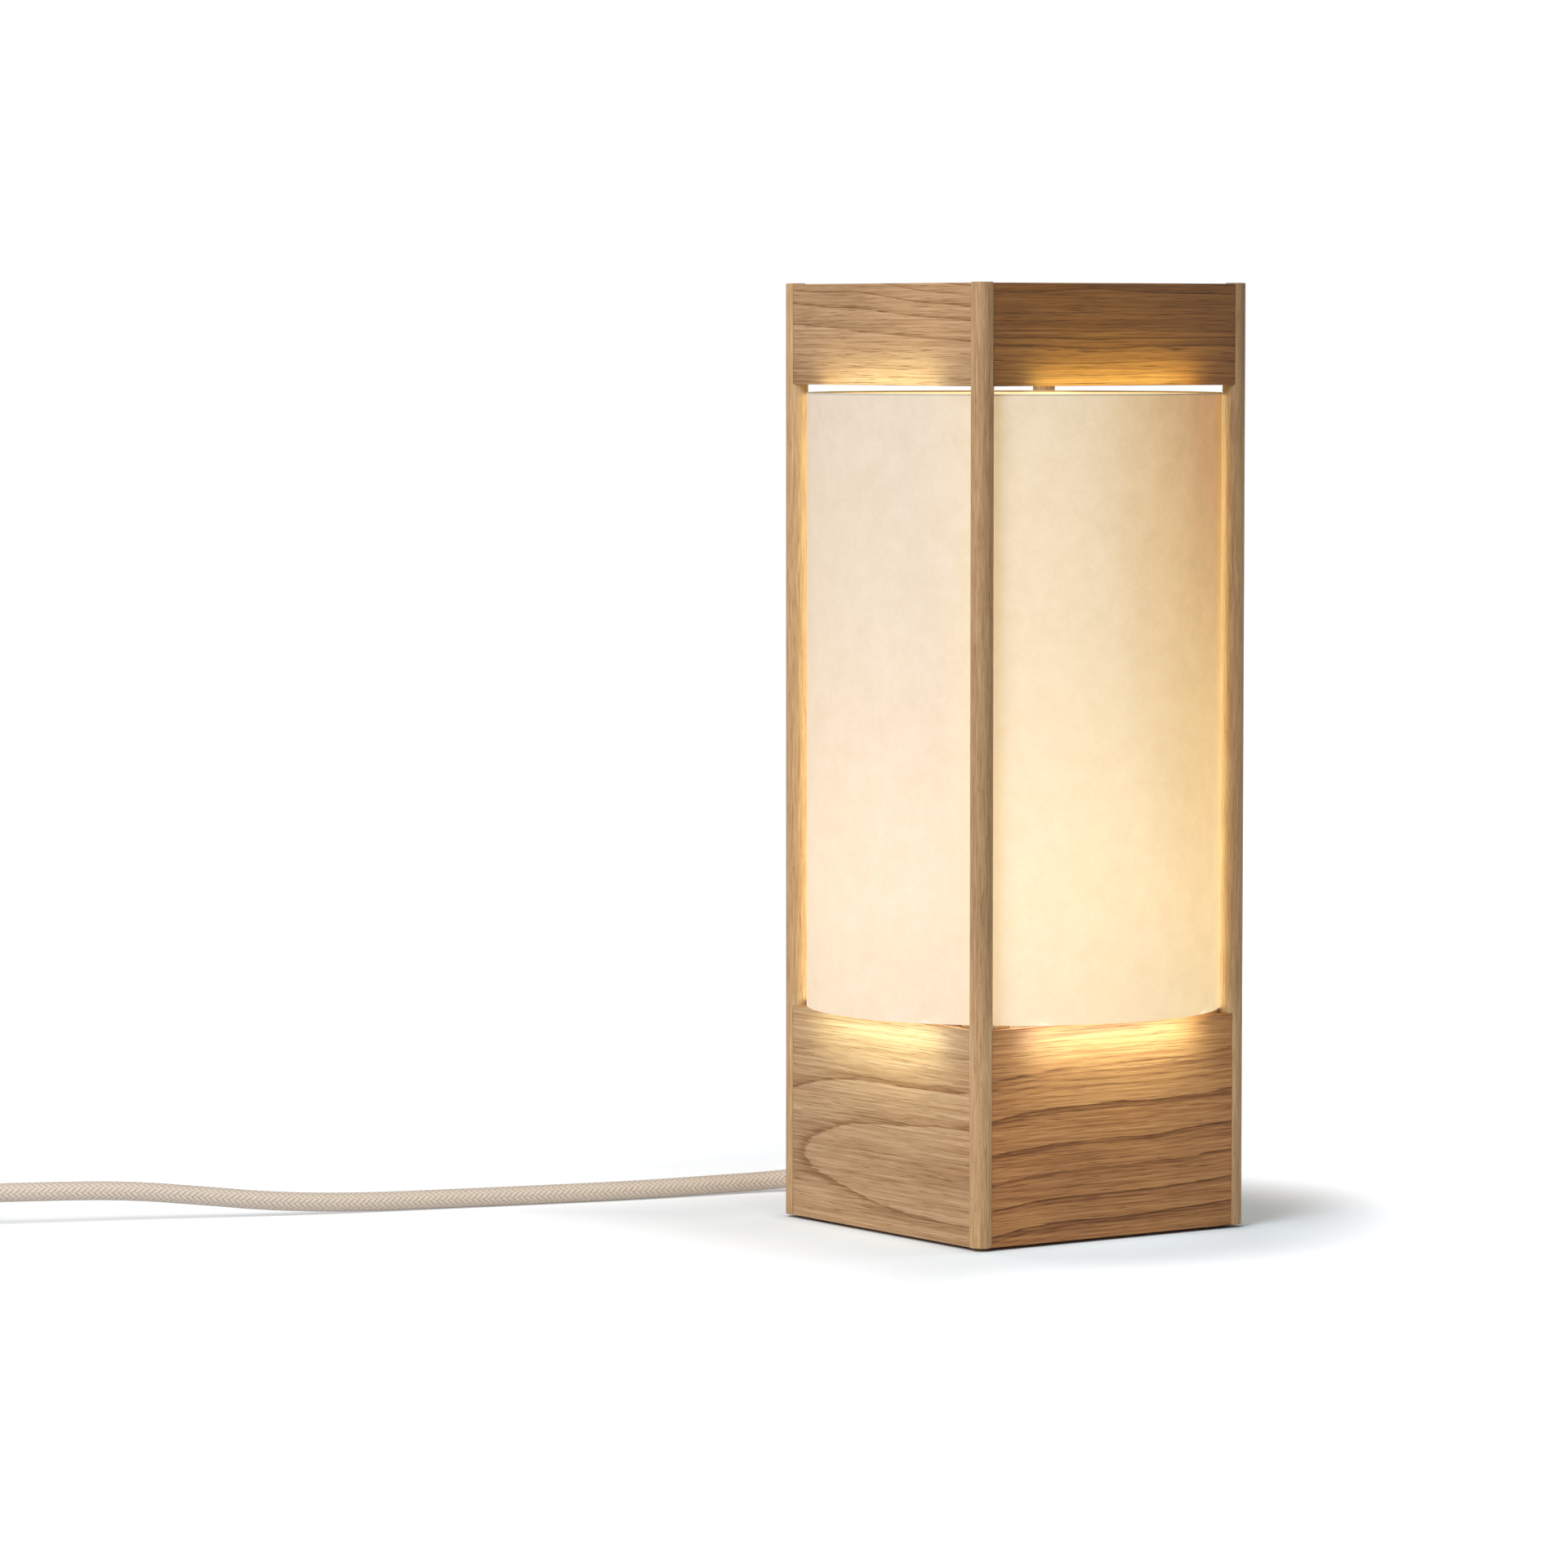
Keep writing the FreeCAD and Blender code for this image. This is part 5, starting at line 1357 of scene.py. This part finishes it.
@dataclass
class CordSet:
    """The braided cord with its strain relief, in-line switch, stored coil, tie and plug."""

    finishes: Finishes
    fasteners: Fasteners
    diameter: float = 6.8
    exit_height: float = 9.5
    panel_face: float = 58.4
    relief_start: float = 49.4
    relief_end: float = 76.4
    relief_bore: float = 3.55
    relief_thread: float = 4.4
    relief_flange: float = 6.0
    relief_tip: float = 4.6
    switch_long: float = 64.0
    switch_wide: float = 26.0
    switch_high: float = 22.5
    switch_nose: float = 6.0
    switch_taper: float = 10.0
    split_gap: float = 0.15
    rocker_half: float = 10.0
    rocker_wide: float = 5.6
    rocker_lean: float = 9.0
    rocker_top: float = 3.0
    rocker_hollow: float = 1.4
    rocker_under: float = 3.5
    mouth_play: float = 1.0
    mouth_half: float = 6.0
    mouth_deep: float = 9.5
    housing_ease: float = 1.2
    tail: float = 20.0
    coil_radius: float = 46.15
    coil_step: float = 7.4
    coil_low: float = 4.2
    loops: int = 3
    per_half: int = 12
    strap_thick: float = 0.7
    strap_wide: float = 10.0
    strap_corner: float = 2.4
    strap_room: Point = (1.63, 0.8, 0.1)  # inside the turns, outside them and over them
    plug_away: float = 38.0
    plug_high: float = 6.8
    plug_relief: float = 20.0
    plug_neck: float = 6.0
    plug_half: float = 13.0
    plug_shoulder: float = 30.0
    plug_end: float = 54.0
    plug_ease: float = 2.2
    pin: float = 2.0
    pin_tip: float = 73.0
    pin_offset: float = 9.3
    # The free run's control points, in metres.
    run: tuple[Point, ...] = (
        (0.0, 0.0764, 0.0095), (0.0, 0.094, 0.0095), (-0.008, 0.1095, 0.0056), (-0.023, 0.1185, 0.00383),
        (-0.045, 0.1217, 0.00371), (-0.076, 0.1267, 0.0034), (-0.110, 0.1355, 0.0034), (-0.145, 0.1453, 0.0034),
        (-0.178, 0.1545, 0.0035), (-0.207, 0.163, 0.0050), (-0.233, 0.1715, 0.0082), (-0.258, 0.1805, 0.0110),
        (-0.286, 0.1911, 0.0116), (-0.313, 0.2014, 0.0116))

    @property
    def store(self) -> Matrix:
        """Works out the stored end's own frame, where the free run ends.

        Returns:
            The frame: X on from the cord's run, Y to its left, Z up from the floor.
        """
        end, before = Vector(self.run[-1]), Vector(self.run[-2])
        ahead = end - before
        return Matrix.Translation((end.x, end.y, 0)) @ Matrix.Rotation(math.atan2(ahead.y, ahead.x), 4, "Z")

    @property
    def centre(self) -> Vector:
        """The coil's centre in the stored end's frame, in millimetres."""
        return Vector((self.switch_long + self.tail + self.diameter, self.coil_radius - self.coil_step / 4, 0))

    def build(self, nodes: Nodes) -> None:
        """Args:
            nodes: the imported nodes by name.
        """
        braid, thick = self.finishes.braid, self.diameter * MM
        relief = self.relief()
        switch = self.switch(nodes)
        plug, stop = self.plug()
        tie = self.tie()
        line = CordLine("run_line", self.run)
        run = dress(line.tube("cord_braided_run", thick), braid, "cord_braid", "cord_run")
        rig.cord(run, exit=self.run[0], length=round(line.length, 4), diameter=thick, far_end="fitting",
                stiffness="limp", lay="loose", path=line.points, with_pieces=[relief, *switch])
        stored = CordLine("stored_line", self.stored_route(stop))
        rest = dress(stored.tube("cord_braided_store", thick, 20), braid, "cord_braid", "cord_tail", "cord_coil",
                     "cord_end")
        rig.cord(rest, exit=stored.points[0], length=round(stored.length, 4), diameter=thick, far_end="plug",
                stiffness="limp", lay="coiled", path=stored.points, with_pieces=[tie, *plug])
        LOG.info("cord %.3f m free, %.3f m stored", line.length, stored.length)

    def relief(self) -> Piece:
        """Builds the strain relief: thread and flange, then a tapered nose with ribs.

        Returns:
            The piece.
        """
        bore, thread, flange, tip = self.relief_bore, self.relief_thread, self.relief_flange, self.relief_tip
        inner, face, nose = self.relief_start, self.panel_face, self.relief_end
        start = face + 2.0
        profile = [(bore, inner), (thread - 0.3, inner), (thread, inner + 0.3), (thread, face), (flange - 0.3, face),
                   (flange, face + 0.3), (flange, face + 1.6), (flange - 0.4, start)]
        profile += ribs(start, nose - 1.2, (0.12, 0.62),
                        lambda z: flange - 0.5 + (tip - flange) * (z - start) / (nose - start))
        profile += [(tip - 0.1, nose - 0.4), (tip - 0.4, nose), (bore, nose)]
        piece = turned("cord_relief_ribbed", profile, 56, moved((0, 0, self.exit_height), -90), 30.0)
        return dress(piece, self.finishes.ivory, "cord_plastic", "cord_strain_relief")

    def switch(self, nodes: Nodes) -> list[Piece]:
        """Builds the two housing halves and the rocker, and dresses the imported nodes.

        Args:
            nodes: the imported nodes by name.

        Returns:
            The pieces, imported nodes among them.
        """
        use, long, high, nose, taper = (self.finishes, self.switch_long, self.switch_high, self.switch_nose,
                                        self.switch_taper)
        side, split = self.switch_wide / 2, self.coil_low + self.coil_step
        outline = [(0, -nose), (taper, -side), (long - taper, -side), (long, -nose), (long, nose),
                   (long - taper, side), (taper, side), (0, nose)]
        lower = slab("switch_lower_shell", outline, 0, split - self.split_gap, self.store)
        upper = slab("switch_upper_shell", outline, split + self.split_gap, high, self.store)
        reach, wide = self.rocker_half + self.mouth_play, self.mouth_half
        left, right, deep = long / 2 - reach, long / 2 + reach, self.mouth_deep
        mouth = [(left, -wide), (right, -wide), (right, wide), (left, wide)]
        cut(upper, slab("rocker_mouth", mouth, high - deep, high + deep, self.store))
        pieces = [dress(ease(shell, self.housing_ease, 4), use.ivory, "cord_plastic", f"switch_{half}_housing")
                  for half, shell in (("lower", lower), ("upper", upper))]
        return [*pieces, self.rocker(), *paint(nodes, use.zinc, "switch_pivot_pin", "switch_screws"),
                *paint(nodes, use.brass, "switch_contacts")]

    def rocker(self) -> Piece:
        """Builds the rocker: a hollowed top and rounded ends, leaning on its pivot.

        Returns:
            The piece.
        """
        half, under, axis_drop = self.rocker_half, -self.rocker_under, 3.0
        top = [(half * share, self.rocker_top - self.rocker_hollow * (1 - abs(share)) ** 0.8)
               for share in (1 - i / 10 for i in range(21))]
        axis = moved((self.switch_long / 2, 0, self.switch_high - axis_drop), self.rocker_lean, "Y")
        piece = slab("switch_rocker_moulded", [(-half, under), (half, under), *top], -self.rocker_wide,
                     self.rocker_wide, self.store @ axis @ moved((0, 0, 0), 90))
        return dress(ease(piece, 0.5, 3), self.finishes.rocker, "rocker_plastic", "switch_rocker", body=Body.ROCKER)

    def passes(self) -> list[Pair]:
        """Follows the coil across its base line, upper layer first.

        Returns:
            Where it crosses, in order, and the height of each crossing, in millimetres.
        """
        near, far = self.coil_radius - self.coil_step / 4, self.coil_radius + self.coil_step / 4
        low, step = self.coil_low, self.coil_step
        made = []
        for loop in range(self.loops):
            made += [(near - loop * step, low + step), (-(far - loop * step), low + step)]
        for loop in range(self.loops):
            made += [(near - (self.loops - loop) * step, low), (-(far - (self.loops - 2 - loop) * step), low)]
        return made

    def stored_route(self, stop: Vector) -> list[Point]:
        """Draws the stored cord's route: out of the switch, round the coil in two layers and on to the plug.

        Args:
            stop: where the plug's relief starts, in the stored end's frame, in millimetres.

        Returns:
            Control points in metres.
        """
        passes = self.passes()
        route = [Vector((self.switch_long + self.tail * share, 0, passes[0][1])) for share in (0, 0.55)]
        for number, ((u0, z0), (u1, z1)) in enumerate(zip(passes, passes[1:])):
            side = 1 if number % 2 == 0 else -1
            middle, radius = (u0 + u1) / 2, (u0 - u1) / 2
            last = number == len(passes) - 2
            for i in range(self.per_half // 2 + 1 if last else self.per_half):
                turn = math.pi * i / self.per_half
                u, v = middle + radius * math.cos(turn), side * abs(radius) * math.sin(turn)
                height = z0 + (z1 - z0) * (1 - math.cos(turn)) / 2
                route.append(self.centre + Vector((v, -u, height)))
        leave = route[-1]
        rise, span = stop.z - leave.z, stop.y - leave.y
        route += [leave + Vector((0, span * s, rise * h)) for s, h in ((0.3, 0), (0.55, 0.5), (0.8, 1.0))]
        return [tuple(self.store @ (p * MM)) for p in (*route, stop)]

    def tie(self) -> Piece:
        """Builds a strap round all turns on the side away from the switch, with rounded corners.

        Returns:
            The piece.
        """
        half, step, thick = self.diameter / 2, self.coil_step, self.strap_thick
        room_in, room_out, room_over = self.strap_room
        near = self.centre.x + self.coil_radius - (self.loops - 1) * step - half - room_in
        far = self.centre.x + self.coil_radius + half + room_out
        top = self.coil_low + step + half + room_over
        middle = self.centre.y + step * 0.75
        corners = ((near, thick, 2), (far, thick, 3), (far, top, 0), (near, top, 1))
        sections = []
        for grow in (0.0, thick):
            inset, radius, section = self.strap_corner, self.strap_corner + grow, []
            for x, z, quarter in corners:
                x += inset if x == near else -inset
                z += inset if z == thick else -inset
                section += [(x + radius * math.cos(math.pi / 2 * (quarter + i / 6)),
                             z + radius * math.sin(math.pi / 2 * (quarter + i / 6))) for i in range(7)]
            sections.append(section)
        inside, outside = sections
        points = [self.store @ (Vector((x, middle + way * self.strap_wide / 2, z)) * MM)
                  for section, way in ((inside, -1), (outside, -1), (outside, 1), (inside, 1)) for x, z in section]
        piece = mesh_piece("coil_tie_strap", points, quads(4, len(inside), looped=True), 40.0)
        layer, turn_back = piece.data.uv_layers.new(name="Strap"), self.store.inverted()
        for loop in piece.data.loops:
            place = turn_back @ piece.data.vertices[loop.vertex_index].co / MM
            layer.data[loop.index].uv = (place.x + place.z, place.y)
        return dress(piece, self.finishes.webbing, "tie_fabric", "coil_tie")

    def plug(self) -> tuple[list[Piece], Vector]:
        """Builds the flat two-pin plug with its ribbed relief.

        Returns:
            The pieces, and where the cord meets the relief in the stored end's frame in millimetres.
        """
        use, long = self.finishes, self.plug_relief
        (before, _), (last, _) = self.passes()[-2:]
        leave = self.centre + Vector(((before - last) / 2, -(before + last) / 2, 0))
        stop = Vector((leave.x, leave.y + self.diameter + self.plug_away, self.plug_high))
        here = self.store @ moved((stop.x, stop.y, 0))
        axis = here @ moved((0, 0, self.plug_high), -90)
        profile = [(0, 0), (4.2, 0), (4.6, 0.5), *ribs(1.0, long - 1.0, (0.15, 0.65), lambda z: 4.6 + 1.3 * z / long),
                   (5.9, long - 0.8), (6.0, long), (0, long)]
        relief = dress(turned("plug_relief_ribbed", profile, 48, axis, 30.0), use.ivory, "cord_plastic",
                       "plug_strain_relief")
        half, end, pin, tip = self.plug_half, self.plug_end, self.pin, self.pin_tip
        edge = [(self.plug_neck, long), (half, self.plug_shoulder), (half, end)]
        outline = edge + [(-x, y) for x, y in reversed(edge)]
        body = ease(slab("plug_body_moulded", outline, 0.0, 2 * self.plug_high, here), self.plug_ease, 5)
        dress(body, use.ivory, "cord_plastic", "plug_body")
        one = turned("pin", [(0, end), (pin, end), (pin, tip - 0.8), (pin - 0.3, tip - 0.2), (pin - 0.9, tip),
                             (0, tip)], 32, axis)
        places = [tuple(axis.to_3x3() @ Vector((x * MM, 0, 0))) for x in (-self.pin_offset, self.pin_offset)]
        pins = self.fasteners.spread("plug_pins_turned", one, places, use.brass)
        dress(pins, use.brass, "contact_brass", "plug_pins")
        return [relief, body, pins], stop


# Studio


@dataclass
class Studio:
    """A white floor, a soft lamp on the left, a dim room and the photograph's camera, in metres."""

    eye: Point = (-1.43354, -1.90254, 0.31702)
    look: Point = (0.57287, 0.81687, -0.06751)
    lens: float = 154.54
    sensor: float = 36.0
    floor_size: float = 40.0
    floor_drop: float = 0.0002
    key_watts: float = 17.0
    key_place: Point = (-1.17, -0.38, 1.0)
    key_target: Point = (0.0, 0.0, 0.15)
    key_size: Pair = (0.9, 0.9)
    room: float = 0.3
    strip_radius: float = 0.07345
    strip_low: float = 0.078
    strip_high: float = 0.294
    strip_wide: float = 0.011
    strip_watts: float = 0.0097
    strip_colour: str = "F7FBCC"
    strip_spread_deg: float = 100.0
    spill_wide: float = 0.006
    # Tier, then its lamps' reach from the middle, height, way down or up, and length.
    tiers: tuple[tuple[str, float, float, int, float], ...] = (
        ("lower", 0.069, 0.0745, -1, 0.072), ("upper", 0.0648, 0.2962, 1, 0.07))
    # Side, then watts and colour of its lower and its upper lamp.
    spill: tuple[tuple[Side, tuple[float, str], tuple[float, str]], ...] = (
        (Side.FRONT, (0.0195, "E2FFFA"), (0.0112, "FFFFA0")), (Side.LEFT, (0.0124, "E0FFEC"), (0.0086, "EAFFE4")),
        (Side.RIGHT, (0.01, "F4FFD8"), (0.008, "F4FFD8")), (Side.REAR, (0.01, "F4FFD8"), (0.008, "F4FFD8")))

    def build(self) -> None:
        """Sets the camera, floor, lights and background."""
        bpy.context.scene.view_settings.view_transform = "Standard"
        self.camera()
        half = self.floor_size / 2
        floor = mesh_piece("floor", [(-half, -half, 0), (half, -half, 0), (half, half, 0), (-half, half, 0)],
                           [(0, 1, 2, 3)])
        floor.location.z = -self.floor_drop
        floor.data.materials.append(FloorPaint().make("white_paint"))  # flat white that takes a soft shadow
        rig.stage(floor)
        self.world()
        self.lamp("key", self.key_place, self.key_target, self.key_size, self.key_watts, "FFFFFF")
        self.glow()

    def camera(self) -> None:
        """Sets the camera of the photograph."""
        data = bpy.data.cameras.new("camera")
        data.lens, data.sensor_width, data.sensor_fit = self.lens, self.sensor, "HORIZONTAL"
        data.clip_start, data.clip_end = 0.05, 200.0
        camera = link("camera", data)
        camera.location = self.eye
        camera.rotation_euler = Vector(self.look).to_track_quat("-Z", "Y").to_euler()
        bpy.context.scene.camera = camera

    def world(self) -> None:
        """Sets a background that is white where it is seen and dim where it lights."""
        world = bpy.data.worlds.new("studio")
        world.use_nodes = True
        bpy.context.scene.world = world
        add = Graph(world.node_tree).add
        rays = add("LightPath").node.outputs
        seen = rays["Is Camera Ray"]
        for ray in ("Is Glossy Ray", "Is Transmission Ray"):
            seen = add("Math MAXIMUM", [seen, rays[ray]])
        power = add("MapRange", [seen, 0, 1, self.room, 1.0])
        add("OutputWorld", [add("Background", ["FFFFFF", power])])

    def lamp(self, name: str, place: Point, target: Point, size: Pair, watts: float, colour: str) -> Piece:
        """Adds an area lamp.

        Args:
            name: the lamp's name.
            place: where it hangs.
            target: what it faces.
            size: its width and height.
            watts: its power.
            colour: its hex colour.

        Returns:
            The lamp.
        """
        data = bpy.data.lights.new(name, "AREA")
        data.shape, (data.size, data.size_y) = "RECTANGLE", size
        data.energy, data.color = watts, linear(colour)[:3]
        lamp = link(name, data)
        lamp.location = place
        lamp.rotation_euler = (Vector(target) - Vector(place)).to_track_quat("-Z", "Y").to_euler()
        lamp.visible_camera = False
        return lamp

    def glow(self) -> None:
        """Sets the light that the sheet throws outwards: warm strips by the posts, and spill past its rims."""
        middle, long = (self.strip_low + self.strip_high) / 2, self.strip_high - self.strip_low
        for turn in (45, 135, 225, 315):
            out = Vector((math.cos(math.radians(turn)), math.sin(math.radians(turn)), 0))
            place = out * self.strip_radius + Vector((0, 0, middle))
            strip = self.lamp(f"glow_{turn}", tuple(place), tuple(place + out), (self.strip_wide, long),
                              self.strip_watts, self.strip_colour)
            strip.data.spread = math.radians(self.strip_spread_deg)
        for side, *lamps in self.spill:
            out = Matrix.Rotation(math.radians(side.value), 3, "Z") @ Vector((0, -1, 0))
            for (tier, reach, level, way, long), (watts, colour) in zip(self.tiers, lamps):
                place = out * reach + Vector((0, 0, level))
                target = place - out + Vector((0, 0, way))
                self.lamp(f"spill_{side.name.lower()}_{tier}", tuple(place), tuple(target),
                          (long, self.spill_wide), watts, colour)


def main() -> None:
    """Builds the lamp in order and writes its boxes."""
    logging.basicConfig(level=logging.INFO, format="%(name)s %(message)s")
    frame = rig.load()
    packed = [list(corner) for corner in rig.bounds()]
    nodes = frame["nodes"]
    Studio().build()
    finishes = Finishes()
    fasteners = Fasteners()
    CordSet(finishes, fasteners).build(nodes)
    WoodFrame(finishes).build()
    PaperShade(finishes).build()
    Base(finishes, fasteners).build(nodes)
    LampHolder(finishes, fasteners).build(nodes)
    Bulb(finishes).build(nodes)
    shown = [list(corner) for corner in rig.bounds()]
    with open(SIZE_FILE, "w", encoding="utf-8") as file:
        json.dump({"cad": packed, "visual": shown}, file)
    LOG.info("packed box %s, shown box %s", packed, shown)


if __name__ == "__main__":
    main()
